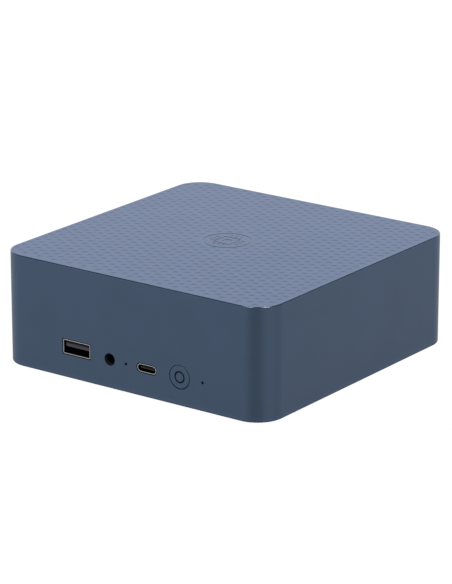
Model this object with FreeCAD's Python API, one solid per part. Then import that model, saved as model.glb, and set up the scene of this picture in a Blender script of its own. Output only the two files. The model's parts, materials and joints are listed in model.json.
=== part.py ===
"""Mini PC: a square desktop computer in a rounded aluminium housing, built as an assembly.

Frame: millimetres, +Z up, front (power button) at -Y, right side at +X.
Origin: centre of the footprint, on the plane that the rubber feet rest on.
Each function below builds one physical piece, or one group of identical pieces, and
BUILDERS at the end maps the piece's name to its function.
"""
import FreeCAD
import Part
import math
import os

Vec = FreeCAD.Vector

# ---- driving dimensions --------------------------------------------------------------
WIDTH = 126.0            # housing side, square in plan
SHELL_HEIGHT = 44.9      # housing, from its open lower edge to its top face
FOOT_DROP = 1.5          # how far the feet hold the housing off the table
CORNER_R = 11.0          # vertical corners of the housing
WALL = 1.6
ROOF = 1.8
TOP_EDGE_R = 0.4
BOTTOM_EDGE_R = 0.6

BOARD_RISE = 8.0         # lower face of the motherboard above the housing's lower edge
BOARD_T = 1.6

GAP = 0.05               # air between pieces that merely touch
PORT_RECESS = 0.15       # connector mouths sit this far behind the housing's face

# ---- heights and planes worked out from them -----------------------------------------
HALF = WIDTH / 2
FRONT = -HALF
BACK = HALF
Z_EDGE = FOOT_DROP                       # housing's lower edge
Z_TOP = FOOT_DROP + SHELL_HEIGHT
Z_ROOF = Z_TOP - ROOF                    # underside of the roof
INNER = HALF - WALL                      # inner face of every wall
INNER_R = CORNER_R - WALL
Z_BOARD_LOW = Z_EDGE + BOARD_RISE
Z_BOARD = Z_BOARD_LOW + BOARD_T          # upper face of the motherboard
BOARD_FRONT = -59.5
BOARD_BACK = 58.0
BOARD_SIDE = 58.0

# ---- front face: x, and height above the housing's lower edge ------------------------
USB_A_X, USB_A_Z = -25.15, Z_EDGE + 12.5
JACK_X, JACK_Z = -9.0, Z_EDGE + 11.6
RESET_X = -1.2
USB_C_X = 8.6
BUTTON_X = 24.1
STATUS_X = 34.8
AXIS_Z = Z_EDGE + 11.4                   # USB-C, button and pinholes share this height
PINHOLE_R = 0.58

# ---- standard connector sizes --------------------------------------------------------
USB_A_W, USB_A_H = 13.1, 5.75            # outside of the socket's shell
SHEET = 0.3                              # thickness of connector shells
USB_C_W, USB_C_H = 8.94, 3.2
JACK_BORE_R = 1.8                        # for a 3.5 mm plug
JACK_BORE_LEN = 13.5
HDMI_W, HDMI_H = 15.0, 5.9
LAN_W, LAN_H, LAN_LEN = 16.0, 13.5, 21.3
LAMP_X, LAMP_LEN = 5.6, 8.0              # light windows beside each network socket's latch
STACK_H = 15.6                           # two USB-A sockets, one above the other
STACK_PITCH = 8.0

# ---- rear face -----------------------------------------------------------------------
WINDOW_HALF = 50.0                       # half width of the opening in the rear wall
WINDOW_TOP = Z_TOP - 4.4
PANEL_GAP = 0.15
HDMI_XS = (40.9, 24.3)
STACK_X = 8.6
LAN_XS = (-7.7, -25.5)
REAR_USB_X = -41.8
MAINS_X, MAINS_Z = 39.0, 29.5
MAINS_LOBE_R, MAINS_LOBE_X = 4.2, 4.3    # figure-eight mains inlet
MAINS_PIN_R = 1.2
VENT_Z0, VENT_Z1 = 32.0, 40.4
VENT_PITCH, VENT_W = 3.4, 2.0
VENT_X0, VENT_X1 = -47.0, 25.0

# ---- power button --------------------------------------------------------------------
BUTTON_R = 4.6
BUTTON_HOLE_R = 4.8
BUTTON_RING_R, BUTTON_RING_W = 2.08, 0.65  # mean radius and width of the lit ring
BUTTON_TRAVEL = 0.35
BUTTON_FLANGE_R = 5.6
RESET_TRAVEL = 0.25

# ---- lower cover ---------------------------------------------------------------------
COVER_LOW = Z_EDGE + 0.4
COVER_T = 1.8
COVER_HIGH = COVER_LOW + COVER_T
COVER_HALF = INNER - 0.15
POST_XY = 54.0                           # cover screws, one in each corner
POST_R = 3.2
POST_LOW = 6.45
FOOT_XY, FOOT_R = 43.5, 7.5
FOOT_POCKET = 0.8
BOARD_SCREW_X, BOARD_SCREW_Y = 54.5, 43.5

# ---- cooling -------------------------------------------------------------------------
CPU_X, CPU_Y = -12.0, 4.0
FAN_X, FAN_Y = -12.0, 6.0
FAN_R = 36.0
FAN_LOW, FAN_HIGH = 32.3, 42.7
FIN_X0, FIN_X1, FIN_Y0, FIN_Y1 = -46.0, 23.0, 46.5, 60.0
PIPE_R = 2.5
PIPE_Z = 17.2

LEGS = ((FAN_X - 35.2, FAN_Y - 12.8), (FAN_X + 35.2, FAN_Y - 12.8))  # fan legs and lid screws
SUPPLY_XS = (-46, -37, -28, -19)         # chokes and capacitors of the processor's supply

# ---- power supply --------------------------------------------------------------------
PSU_X0, PSU_X1 = 27.6, 50.8
PSU_Y0, PSU_Y1 = -44.0, 42.6
PSU_LOW, PSU_HIGH = 19.0, 43.6

# ---- storage, memory and radio on the lower face of the board ------------------------
MEM_X = -56.5                            # back of the memory socket
MODULE_LEN, MODULE_W, MODULE_T = 69.6, 30.0, 1.2
MODULE_Z = 7.0
LATCH_X, LATCH_Y = -50.0, 36.0
CARD_XS = (-8.0, 16.0, 41.0)             # two drive slots and the radio slot
CARD_W, CARD_T, CARD_Z = 22.0, 0.8, 6.7
CARD_Y = 40.2
DRIVE_LEN, RADIO_LEN = 80.0, 30.0


# ---- shape helpers -------------------------------------------------------------------
def box(x0, x1, y0, y1, z0, z1):
    """Box between two corners."""
    return Part.makeBox(x1 - x0, y1 - y0, z1 - z0, Vec(x0, y0, z0))


def block(cx, cy, z0, dx, dy, dz):
    """Box centred on (cx, cy) that stands on z0."""
    return box(cx - dx / 2, cx + dx / 2, cy - dy / 2, cy + dy / 2, z0, z0 + dz)


def rod_z(x, y, z0, z1, r):
    return Part.makeCylinder(r, z1 - z0, Vec(x, y, z0), Vec(0, 0, 1))


def rod_y(x, z, y0, y1, r):
    return Part.makeCylinder(r, y1 - y0, Vec(x, y0, z), Vec(0, 1, 0))


def join(shapes):
    """One solid from overlapping or touching shapes."""
    return shapes[0].fuse(shapes[1:]).removeSplitter()


def group(shapes):
    """Separate solids kept side by side."""
    return Part.makeCompound(shapes)


def outline(w, h, r, place):
    """Closed wire of a w by h rectangle with corners of radius r; place turns (u, v) into a point."""
    edges = []
    last = first = None
    for cu, cv, start in ((1, 1, 0), (-1, 1, 90), (-1, -1, 180), (1, -1, 270)):
        arc = []
        for turn in (0, 45, 90):
            t = math.radians(start + turn)
            arc.append(place(cu * (w / 2 - r) + r * math.cos(t), cv * (h / 2 - r) + r * math.sin(t)))
        if last is not None and last.distanceToPoint(arc[0]) > 1e-6:
            edges.append(Part.makeLine(last, arc[0]))
        edges.append(Part.Arc(*arc).toShape())
        last = arc[-1]
        first = first or arc[0]
    if last.distanceToPoint(first) > 1e-6:
        edges.append(Part.makeLine(last, first))
    return Part.Wire(edges)


def slab(w, d, z0, z1, r, cx=0.0, cy=0.0, holes=()):
    """Flat plate with round corners; holes are closed wires lying at z0."""
    rim = outline(w, d, r, lambda u, v: Vec(cx + u, cy + v, z0))
    face = Part.makeFace([rim, *holes], "Part::FaceMakerBullseye")
    return face.extrude(Vec(0, 0, z1 - z0))


def tunnel(w, h, r, y0, y1, cx, cz):
    """Round-cornered prism that runs along Y."""
    rim = outline(w, h, r, lambda u, v: Vec(cx + u, y0, cz + v))
    return Part.Face(rim).extrude(Vec(0, y1 - y0, 0))


def slot_wire(x, y, w, d, z):
    """Closed wire of an upright slot with round ends, for slab's holes."""
    return outline(w, d, w / 2 - 0.01, lambda u, v: Vec(x + u, y + v, z))


def bent_path(points, bend):
    """Wire through points with an arc of radius bend at each corner."""
    edges = []
    start = points[0]
    for before, corner, after in zip(points, points[1:], points[2:]):
        back, ahead = (before - corner).normalize(), (after - corner).normalize()
        half = back.getAngle(ahead) / 2
        reach = bend / math.tan(half)
        middle = corner + (back + ahead).normalize() * (bend / math.sin(half) - bend)
        edges.append(Part.makeLine(start, corner + back * reach))
        edges.append(Part.Arc(corner + back * reach, middle, corner + ahead * reach).toShape())
        start = corner + ahead * reach
    edges.append(Part.makeLine(start, points[-1]))
    return Part.Wire(edges)


def rod_along(points, r, bend):
    """Round rod or wire that follows points."""
    path = bent_path(points, bend)
    ring = Part.Wire(Part.makeCircle(r, points[0], points[1] - points[0]))
    return path.makePipeShell([ring], True, True)


def screw(x, y, z_head, z_tip, head_r, head_h, shank_r):
    """Pan-head screw driven upward, with a cross recess in its head."""
    up = 1 if z_tip > z_head else -1
    z_neck = z_head + up * head_h
    head = rod_z(x, y, min(z_head, z_neck), max(z_head, z_neck), head_r)
    shank = rod_z(x, y, min(z_neck, z_tip), max(z_neck, z_tip), shank_r)
    depth = head_h * 0.6
    z_cut = min(z_head, z_head + up * depth)
    arm, slot = head_r * 1.1, head_r * 0.24
    cross = [block(x, y, z_cut, arm, slot, depth), block(x, y, z_cut, slot, arm, depth)]
    return head.fuse(shank).removeSplitter().cut(cross[0].fuse(cross[1]))


def corners(x, y):
    """The four points (+-x, +-y)."""
    return [(sx * x, sy * y) for sx in (-1, 1) for sy in (-1, 1)]


def edges_near(shape, z_low=-1e3, z_high=1e3):
    """Edges of shape that lie wholly between two heights."""
    return [e for e in shape.Edges if e.BoundBox.ZMin > z_low - 1e-3 and e.BoundBox.ZMax < z_high + 1e-3]


def button_mark(r0, r1, y0, y1):
    """Ring about the button's axis, between two radii."""
    return rod_y(BUTTON_X, AXIS_Z, y0, y1, r1).cut(rod_y(BUTTON_X, AXIS_Z, y0 - 1, y1 + 1, r0))


# ---- housing -------------------------------------------------------------------------
def front_cutouts():
    """Openings in the front wall, from left to right."""
    y0, y1 = FRONT - 1, -INNER + 0.2
    return [
        tunnel(USB_A_W + 0.7, USB_A_H + 0.7, 0.5, y0, y1, USB_A_X, USB_A_Z),
        rod_y(JACK_X, JACK_Z, y0, y1, 2.5),
        rod_y(RESET_X, AXIS_Z, y0, y1, PINHOLE_R),
        tunnel(USB_C_W + 0.7, USB_C_H + 0.7, USB_C_H / 2 + 0.3, y0, y1, USB_C_X, AXIS_Z),
        rod_y(BUTTON_X, AXIS_Z, y0, y1, BUTTON_HOLE_R),
        rod_y(STATUS_X, AXIS_Z, y0, y1, PINHOLE_R),
    ]


def top_shell():
    """Roof and four walls in one piece, open below, with posts for the cover and the board."""
    body = slab(WIDTH, WIDTH, Z_EDGE, Z_TOP, CORNER_R)
    body = body.makeFillet(TOP_EDGE_R, edges_near(body, z_low=Z_TOP))
    body = body.makeFillet(BOTTOM_EDGE_R, edges_near(body, z_high=Z_EDGE))
    body = body.cut(slab(2 * INNER, 2 * INNER, Z_EDGE - 1, Z_ROOF, INNER_R))
    posts = [rod_z(x, y, POST_LOW, Z_ROOF + 0.2, POST_R) for x, y in corners(POST_XY, POST_XY)]
    for x, y in corners(BOARD_SCREW_X, BOARD_SCREW_Y):
        wall_x = math.copysign(INNER, x)
        posts.append(rod_z(x, y, Z_BOARD, Z_ROOF + 0.2, 3.0))
        posts.append(box(min(x, wall_x), max(x, wall_x), y - 0.6, y + 0.6, Z_BOARD + 6, Z_ROOF + 0.2))
    body = body.fuse(posts)
    holes = [rod_z(x, y, POST_LOW - 1, POST_LOW + 8, 1.5) for x, y in corners(POST_XY, POST_XY)]
    holes += [rod_z(x, y, Z_BOARD - 1, Z_BOARD + 7, 1.25) for x, y in corners(BOARD_SCREW_X, BOARD_SCREW_Y)]
    window_h = WINDOW_TOP - Z_EDGE + 20
    window = tunnel(2 * WINDOW_HALF, window_h, 2.5, INNER - 0.2, BACK + 1, 0, WINDOW_TOP - window_h / 2)
    return body.cut(front_cutouts() + holes + [window]).removeSplitter()


def vent_centres():
    """Centres of the intake slots, in staggered columns that leave room for the feet."""
    pitch_x, pitch_y = 3.6, 12.0
    centres = []
    for column in range(-11, 12):
        rows = (-2.5, -1.5, -0.5, 0.5, 1.5, 2.5) if column % 2 else (-2, -1, 0, 1, 2)
        for row in rows:
            x, y = column * pitch_x, row * pitch_y
            nearest = math.hypot(abs(x) - FOOT_XY, max(0.0, FOOT_XY - abs(y) - 4.5))
            if nearest > FOOT_R + 2:
                centres.append((x, y))
    return centres


def bottom_cover():
    """Plastic lower cover with intake slots, screw bosses, foot pockets and a locating rim."""
    slots = [slot_wire(x, y, 2.0, 9.0, COVER_LOW) for x, y in vent_centres()]
    cover = slab(2 * COVER_HALF, 2 * COVER_HALF, COVER_LOW, COVER_HIGH, INNER_R - 0.15, holes=slots)
    rim_out, rim_in = 2 * COVER_HALF - 3.4, 2 * COVER_HALF - 5.8
    rim = slab(rim_out, rim_out, COVER_HIGH - 0.2, COVER_HIGH + 1.5, 7.5)
    rim = rim.cut(slab(rim_in, rim_in, COVER_HIGH - 1, COVER_HIGH + 2, 6.3))
    bosses = [rod_z(x, y, COVER_HIGH - 0.2, POST_LOW - GAP, 4.2) for x, y in corners(POST_XY, POST_XY)]
    cover = cover.fuse([rim] + bosses)
    cuts = [rod_z(x, y, COVER_LOW - 1, COVER_LOW + 2.0, 3.1) for x, y in corners(POST_XY, POST_XY)]
    cuts += [rod_z(x, y, COVER_LOW, POST_LOW + 1, 1.7) for x, y in corners(POST_XY, POST_XY)]
    for x, y in corners(FOOT_XY, FOOT_XY):
        cuts.append(rod_z(x, y, COVER_LOW - 1, COVER_LOW + FOOT_POCKET, FOOT_R + 0.15))
    return cover.cut(cuts).removeSplitter()


def rubber_feet():
    """Four soft discs in the cover's pockets, each with a round lower edge."""
    feet = []
    for x, y in corners(FOOT_XY, FOOT_XY):
        foot = rod_z(x, y, 0, COVER_LOW + FOOT_POCKET, FOOT_R)
        feet.append(foot.makeFillet(0.6, edges_near(foot, z_high=0)))
    return group(feet)


def bottom_cover_screws():
    """Four screws in the cover's corners, driven up into the housing's posts."""
    places = corners(POST_XY, POST_XY)
    return group([screw(x, y, COVER_LOW + 0.2, POST_LOW + 6.5, 2.75, 1.8, 1.48) for x, y in places])


def dust_filter():
    """Mesh screen laid over the intake slots, with a thicker welded border."""
    low = COVER_HIGH + GAP
    return slab(81.0, 68.0, low, low + 0.15, 2.0).fuse(
        slab(84.0, 71.0, low, low + 0.25, 3.0).cut(slab(80.0, 67.0, low - 1, low + 1, 2.0))).removeSplitter()


def rear_cutouts():
    """Openings in the rear panel for the sockets, the mains inlet and the exhaust."""
    y0, y1 = INNER - 4, BACK + 1
    cuts = [tunnel(HDMI_W + 0.6, HDMI_H + 0.6, 0.8, y0, y1, x, Z_BOARD + HDMI_H / 2) for x in HDMI_XS]
    cuts.append(tunnel(USB_A_W + 0.7, STACK_H + 0.6, 0.5, y0, y1, STACK_X, Z_BOARD + STACK_H / 2))
    cuts.append(tunnel(USB_A_W + 0.7, USB_A_H + 0.7, 0.5, y0, y1, REAR_USB_X, USB_A_Z))
    cuts += [tunnel(LAN_W + 0.6, LAN_H + 0.6, 0.5, y0, y1, x, Z_BOARD + LAN_H / 2) for x in LAN_XS]
    cuts.append(tunnel(19.2, 10.8, 5.3, y0, y1, MAINS_X, MAINS_Z))
    count = int((VENT_X1 - VENT_X0) / VENT_PITCH)
    for i in range(count + 1):
        x = VENT_X0 + i * VENT_PITCH
        cuts.append(tunnel(VENT_W, VENT_Z1 - VENT_Z0, 0.95, y0, y1, x, (VENT_Z0 + VENT_Z1) / 2))
    return cuts


def rear_panel():
    """Plastic panel that fills the rear window, held by a flange behind the wall."""
    top = WINDOW_TOP - PANEL_GAP
    width = 2 * (WINDOW_HALF - PANEL_GAP)
    face_h = top - Z_EDGE
    face = tunnel(width, face_h, 2.3, INNER - 0.5, BACK - 0.3, 0, Z_EDGE + face_h / 2)
    square_foot = box(-width / 2, width / 2, INNER - 0.5, BACK - 0.3, Z_EDGE, Z_EDGE + 4)
    reach, low = WINDOW_HALF + 1.0, Z_EDGE + 2.8
    flange = box(-reach, reach, INNER - 1.3, INNER - 0.1, low, WINDOW_TOP + 1.6)
    cover_rebate = box(-reach, reach, 0, INNER - 0.1, 0, low)
    return join([face, square_foot, flange]).cut(rear_cutouts() + [cover_rebate]).removeSplitter()


# ---- power button, reset switch and status light -------------------------------------
def power_button():
    """Round cap with a retaining flange, a stem for the switch and a groove for the lit ring."""
    face = rod_y(BUTTON_X, AXIS_Z, FRONT, -INNER + 0.2, BUTTON_R)
    face = face.makeFillet(0.25, [e for e in face.Edges if e.BoundBox.YMax < FRONT + 0.01])
    flange = rod_y(BUTTON_X, AXIS_Z, -INNER + GAP, -INNER + 0.85, BUTTON_FLANGE_R)
    stem = rod_y(BUTTON_X, AXIS_Z, -INNER + 0.5, -57.55, 1.0)
    inner, outer = BUTTON_RING_R - BUTTON_RING_W / 2, BUTTON_RING_R + BUTTON_RING_W / 2
    groove = button_mark(inner, outer, FRONT - 1, FRONT + 0.7)
    pegs = [rod_y(x, z, FRONT, -INNER + 2, 0.24) for x, z in ring_pegs()]
    return join([face, flange, stem]).cut([groove] + pegs)


def ring_pegs():
    """Centres of the ring's three light pegs."""
    turns = [math.radians(a) for a in (90, 210, 330)]
    return [(BUTTON_X + BUTTON_RING_R * math.cos(t), AXIS_Z + BUTTON_RING_R * math.sin(t)) for t in turns]


def power_button_ring():
    """Smoked light guide: a ring flush with the cap and three pegs that carry light through it."""
    slack = 0.02
    inner, outer = BUTTON_RING_R - BUTTON_RING_W / 2 + slack, BUTTON_RING_R + BUTTON_RING_W / 2 - slack
    ring = button_mark(inner, outer, FRONT + 0.03, FRONT + 0.7 - slack)
    return join([ring] + [rod_y(x, z, FRONT + 0.3, -INNER + 0.8, 0.22) for x, z in ring_pegs()])


def button_bracket():
    """Plastic cup behind the front wall that guides the button's flange."""
    cup = rod_y(BUTTON_X, AXIS_Z, -INNER + GAP, -57.9, 7.2)
    cup = cup.cut([rod_y(BUTTON_X, AXIS_Z, -INNER - 1, -59.9, BUTTON_FLANGE_R + 0.15),
                   rod_y(BUTTON_X, AXIS_Z, -62, -50, 2.6)])
    ears = []
    for x in (BUTTON_X - 7.6, BUTTON_X + 7.6):
        ears.append(box(x - 1.6, x + 1.6, -INNER + GAP, -59.8, AXIS_Z + 3.0, AXIS_Z + 6.6))
    return join([cup] + ears)


def power_switch_body():
    """Side-push tactile switch at the board's edge, with a slot for its plunger."""
    body = block(BUTTON_X, -54.7, Z_BOARD + GAP, 6.4, 3.4, 3.5)
    return body.cut(box(BUTTON_X - 1.6, BUTTON_X + 1.6, -57, -54.7, AXIS_Z - 0.85, AXIS_Z + 0.85))


def power_switch_plunger():
    return box(BUTTON_X - 1.5, BUTTON_X + 1.5, -57.5, -55.2, AXIS_Z - 0.75, AXIS_Z + 0.75)


def reset_switch_body():
    """Small tactile switch behind the reset pinhole."""
    body = block(RESET_X, -57.6, Z_BOARD + GAP, 4.6, 3.0, 3.1)
    return body.cut(box(RESET_X - 1.1, RESET_X + 1.1, -60, -57.6, AXIS_Z - 0.75, AXIS_Z + 0.75))


def reset_switch_plunger():
    return box(RESET_X - 1.0, RESET_X + 1.0, -60.4, -58.0, AXIS_Z - 0.65, AXIS_Z + 0.65)


def status_light_pipe():
    """Clear rod that brings the status lamp's light to the right-hand pinhole, with a pocket for the lamp."""
    rod = rod_y(STATUS_X, AXIS_Z, FRONT + 0.5, -60.8, PINHOLE_R - 0.04)
    head = tunnel(2.4, 2.6, 0.4, -61.0, -57.2, STATUS_X, AXIS_Z + 0.1)
    return join([rod, head]).cut(block(STATUS_X, -58.2, Z_BOARD - 1, 1.8, 1.3, 1.7))


# ---- connectors ----------------------------------------------------------------------
def usb_a_shell(x, z, mouth, inward):
    """Folded sheet shell of a USB-A socket; inward is +1 behind the front wall, -1 at the rear."""
    y0, y1 = sorted((mouth, mouth + inward * 14.0))
    y2, y3 = sorted((mouth - inward, mouth + inward * 13.7))
    shell = tunnel(USB_A_W, USB_A_H, 0.5, y0, y1, x, z)
    shell = shell.cut(tunnel(USB_A_W - 2 * SHEET, USB_A_H - 2 * SHEET, 0.3, y2, y3, x, z))
    tab_x, tab_y = USB_A_W / 2 - SHEET / 2, mouth + inward * 10
    tabs = [block(x + s * tab_x, tab_y, Z_BOARD - 1.5, SHEET, 2.0, z - Z_BOARD) for s in (-1, 1)]
    return shell.fuse(tabs)


def usb_a_tongue(x, z, mouth, inward, side=1):
    """Plastic tongue of a USB-A socket with its rear block; side is +1 when it hangs from the top."""
    y0, y1 = sorted((mouth + inward * 0.6, mouth + inward * 12.0))
    y2, y3 = sorted((mouth + inward * 10.5, mouth + inward * 13.6))
    middle = z + side * 0.98
    tongue = tunnel(11.1, 1.84, 0.25, y0, y1, x, middle)
    rear = tunnel(12.4, 5.05, 0.2, y2, y3, x, z)
    return join([tongue, rear])


def usb_a_contacts(x, z, mouth, inward, side=1):
    """Four gold springs under the tongue."""
    y0, y1 = sorted((mouth + inward * 2.2, mouth + inward * 10.4))
    face = z + side * (0.98 - 0.92)
    z0, z1 = sorted((face - side * GAP / 5, face - side * 0.22))
    return [box(x + dx - 0.5, x + dx + 0.5, y0, y1, z0, z1) for dx in (-3.5, -1.0, 1.0, 3.5)]


FRONT_MOUTH = FRONT + PORT_RECESS
REAR_MOUTH = BACK - 0.2


def front_usb_a_shell():
    return usb_a_shell(USB_A_X, USB_A_Z, FRONT_MOUTH, 1)


def front_usb_c_shell():
    """Drawn oval shell of the USB-C socket, closed at the rear."""
    y0, y1 = FRONT_MOUTH, FRONT_MOUTH + 7.4
    w, h = USB_C_W - 2 * SHEET, USB_C_H - 2 * SHEET
    shell = tunnel(USB_C_W, USB_C_H, USB_C_H / 2 - 0.02, y0, y1, USB_C_X, AXIS_Z)
    return shell.cut(tunnel(w, h, h / 2 - 0.02, y0 - 1, y1 - SHEET, USB_C_X, AXIS_Z))


def usb_c_tongue():
    """Thin two-sided tongue with its base block."""
    tongue = tunnel(6.7, 0.7, 0.2, FRONT_MOUTH + 0.7, FRONT_MOUTH + 6.0, USB_C_X, AXIS_Z)
    base = tunnel(8.2, 2.4, 1.15, FRONT_MOUTH + 5.0, FRONT_MOUTH + 7.0, USB_C_X, AXIS_Z)
    return join([tongue, base])


def usb_c_contacts():
    """Twelve gold pads on each face of the USB-C tongue."""
    y0, y1 = FRONT_MOUTH + 1.6, FRONT_MOUTH + 4.9
    pads = []
    for i in range(12):
        x = USB_C_X + (i - 5.5) * 0.5
        for side in (-1, 1):
            z0, z1 = sorted((AXIS_Z + side * 0.36, AXIS_Z + side * 0.42))
            pads.append(box(x - 0.13, x + 0.13, y0, y1, z0, z1))
    return pads


def audio_jack_body():
    """Headphone socket: a round nose in the wall's hole and a block sunk into the board's notch."""
    y0 = FRONT + 0.5
    nose = rod_y(JACK_X, JACK_Z, y0, -60.5, 2.4)
    body = tunnel(6.0, 5.0, 0.4, -INNER + 0.2, -48.0, JACK_X, JACK_Z)
    ears = box(JACK_X - 4.6, JACK_X + 4.6, -56, -50, Z_BOARD + GAP, Z_BOARD + 0.9)
    bore = rod_y(JACK_X, JACK_Z, FRONT - 1, y0 + JACK_BORE_LEN, JACK_BORE_R)
    mouth = Part.makeCone(JACK_BORE_R + 0.25, JACK_BORE_R, 0.25, Vec(JACK_X, y0, JACK_Z), Vec(0, 1, 0))
    return join([nose, body, ears]).cut([bore, mouth])


def audio_jack_legs():
    """Tin-plated solder legs beside the socket's body."""
    legs = []
    for s in (-1, 1):
        for y in (-58.2, -49.2):
            x0, x1 = sorted((JACK_X + s * 3.02, JACK_X + s * 5.0))
            legs.append(box(x0, x1, y - 0.6, y + 0.6, Z_BOARD + GAP, Z_BOARD + 0.35))
    return legs


def usb_stack_shell():
    """One shell with two USB-A mouths, one above the other."""
    z = Z_BOARD + STACK_H / 2
    y0, y1 = REAR_MOUTH - 17.5, REAR_MOUTH
    shell = tunnel(USB_A_W, STACK_H, 0.5, y0, y1, STACK_X, z)
    for dz in (-STACK_PITCH / 2, STACK_PITCH / 2):
        shell = shell.cut(tunnel(12.5, 5.15, 0.3, y0 + SHEET, y1 + 1, STACK_X, z + dz))
    return shell.cut(tunnel(12.5, STACK_PITCH - 5.15 - 0.6, 0.2, y0 + SHEET, y1 - 1.5, STACK_X, z))


def rear_usb_shells():
    """Shells of the stacked pair and of the single USB-A socket at the rear."""
    return group([usb_stack_shell(), usb_a_shell(REAR_USB_X, USB_A_Z, REAR_MOUTH, -1)])


def usb_a_places():
    """Centre, mouth and inward direction of each USB-A socket."""
    middle = Z_BOARD + STACK_H / 2
    return [(USB_A_X, USB_A_Z, FRONT_MOUTH, 1), (STACK_X, middle - STACK_PITCH / 2, REAR_MOUTH, -1),
            (STACK_X, middle + STACK_PITCH / 2, REAR_MOUTH, -1), (REAR_USB_X, USB_A_Z, REAR_MOUTH, -1)]


def hdmi_outline(x, z, w, h, y):
    """D-shaped outline with the two lower corners drawn in."""
    side = h * 0.42
    drawn_in = w * 0.09
    points = [(-w / 2, h / 2), (w / 2, h / 2), (w / 2, h / 2 - side), (w / 2 - drawn_in, -h / 2),
              (-w / 2 + drawn_in, -h / 2), (-w / 2, h / 2 - side)]
    corners_3d = [Vec(x + u, y, z + v) for u, v in points]
    return Part.Face(Part.makePolygon(corners_3d + corners_3d[:1]))


def hdmi_shells():
    """Two display sockets with folded shells and a square front flange."""
    shells = []
    for x in HDMI_XS:
        z = Z_BOARD + HDMI_H / 2
        body = hdmi_outline(x, z, HDMI_W - 0.4, HDMI_H - 0.5, REAR_MOUTH - 11.5).extrude(Vec(0, 11.2, 0))
        flange = tunnel(HDMI_W, HDMI_H - 0.1, 0.6, REAR_MOUTH - 0.6, REAR_MOUTH, x, z)
        mouth = hdmi_outline(x, z, 14.0, 4.6, REAR_MOUTH - 11.2).extrude(Vec(0, 13, 0))
        shells.append(body.fuse(flange).cut(mouth))
    return group(shells)


def hdmi_tongues():
    tongues = []
    for x in HDMI_XS:
        z = Z_BOARD + HDMI_H / 2
        blade = tunnel(10.9, 1.2, 0.25, REAR_MOUTH - 10, REAR_MOUTH - 1.2, x, z + 0.1)
        base = tunnel(10.9, 3.6, 0.3, REAR_MOUTH - 11.1, REAR_MOUTH - 9.0, x, z)
        tongues.append(join([blade, base]))
    return tongues


def hdmi_contacts():
    pads = []
    for x in HDMI_XS:
        z = Z_BOARD + HDMI_H / 2 + 0.1
        for i in range(10):
            cx = x + (i - 4.5)
            pads.append(box(cx - 0.22, cx + 0.22, REAR_MOUTH - 8.9, REAR_MOUTH - 2.4, z + 0.61, z + 0.7))
        for i in range(9):
            cx = x + (i - 4.0)
            pads.append(box(cx - 0.22, cx + 0.22, REAR_MOUTH - 8.9, REAR_MOUTH - 2.4, z - 0.7, z - 0.61))
    return pads


def lan_opening(x, y0, y1, grow=0.0):
    """Stepped network-socket opening: the plug's body above, the latch's notch below."""
    z = Z_BOARD + LAN_H / 2
    return join([
        box(x - 5.9 - grow, x + 5.9 + grow, y0, y1, z - 2.5 - grow, z + 4.5 + grow),
        box(x - 3.1 - grow, x + 3.1 + grow, y0, y1, z - 4.2 - grow, z - 2.0),
        box(x - 1.7 - grow, x + 1.7 + grow, y0, y1, z - 5.4 - grow, z - 4.0)])


def lamp_windows(x, y0, y1, grow):
    """Two small blocks in the lower corners of a network socket, grown by a margin."""
    middle = Z_BOARD + LAN_H / 2 + GAP - 5.2
    return [box(cx - 1.2 - grow, cx + 1.2 + grow, y0, y1, middle - 0.75 - grow, middle + 0.75 + grow)
            for cx in (x - LAMP_X, x + LAMP_X)]


def lan_shells():
    """Tinned shields of the two network sockets."""
    y0, y1 = REAR_MOUTH - LAN_LEN, REAR_MOUTH
    w, h = LAN_W - 2 * SHEET, LAN_H - 0.1 - 2 * SHEET
    shells = []
    for x in LAN_XS:
        z = Z_BOARD + LAN_H / 2 + GAP
        can = tunnel(LAN_W, LAN_H - 0.1, 0.4, y0, y1, x, z)
        hollow = tunnel(w, h, 0.2, y0 + SHEET, y1 - SHEET, x, z)
        mouth = lan_opening(x, y1 - 1, y1 + 1, SHEET)
        shells.append(can.cut([hollow, mouth] + lamp_windows(x, y1 - 1, y1 + 1, 0.1)))
    return group(shells)


def lan_cores():
    """Plastic bodies inside the network shields, hollowed for the plug."""
    w, h = LAN_W - 2 * SHEET - 0.1, LAN_H - 0.8
    cores = []
    for x in LAN_XS:
        z = Z_BOARD + LAN_H / 2 + GAP
        core = tunnel(w, h, 0.2, REAR_MOUTH - LAN_LEN + 0.4, REAR_MOUTH - SHEET - GAP, x, z)
        hollow = lan_opening(x, REAR_MOUTH - 14.0, REAR_MOUTH + 1)
        cores.append(core.cut([hollow] + lamp_windows(x, REAR_MOUTH - LAMP_LEN, REAR_MOUTH + 1, GAP)))
    return cores


def lan_contacts():
    """Eight sprung wires that slope down into each network socket."""
    wires = []
    for x in LAN_XS:
        z = Z_BOARD + LAN_H / 2
        for i in range(8):
            cx = x + (i - 3.5) * 1.02
            slope = [Vec(cx, REAR_MOUTH - 4.5, z + 4.4), Vec(cx, REAR_MOUTH - 4.5, z + 4.0),
                     Vec(cx, REAR_MOUTH - 13.8, z + 0.9), Vec(cx, REAR_MOUTH - 13.8, z + 1.3)]
            face = Part.Face(Part.makePolygon([p - Vec(0.18, 0, 0) for p in slope + slope[:1]]))
            wires.append(face.extrude(Vec(0.36, 0, 0)))
    return wires


def lan_lamps():
    """Light windows in the lower corners of each network socket."""
    y0, y1 = REAR_MOUTH - LAMP_LEN + GAP, REAR_MOUTH - GAP
    return [lamp for x in LAN_XS for lamp in lamp_windows(x, y0, y1, 0)]


def light_guides():
    """Clear plastic pieces that show lamps: the front rod and the network sockets' windows."""
    return group([status_light_pipe()] + lan_lamps())


def socket_inserts():
    """Plastic tongue or core of every USB, display and network socket."""
    tongues = [usb_a_tongue(*place) for place in usb_a_places()]
    return group(tongues + [usb_c_tongue()] + hdmi_tongues() + lan_cores())


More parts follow.
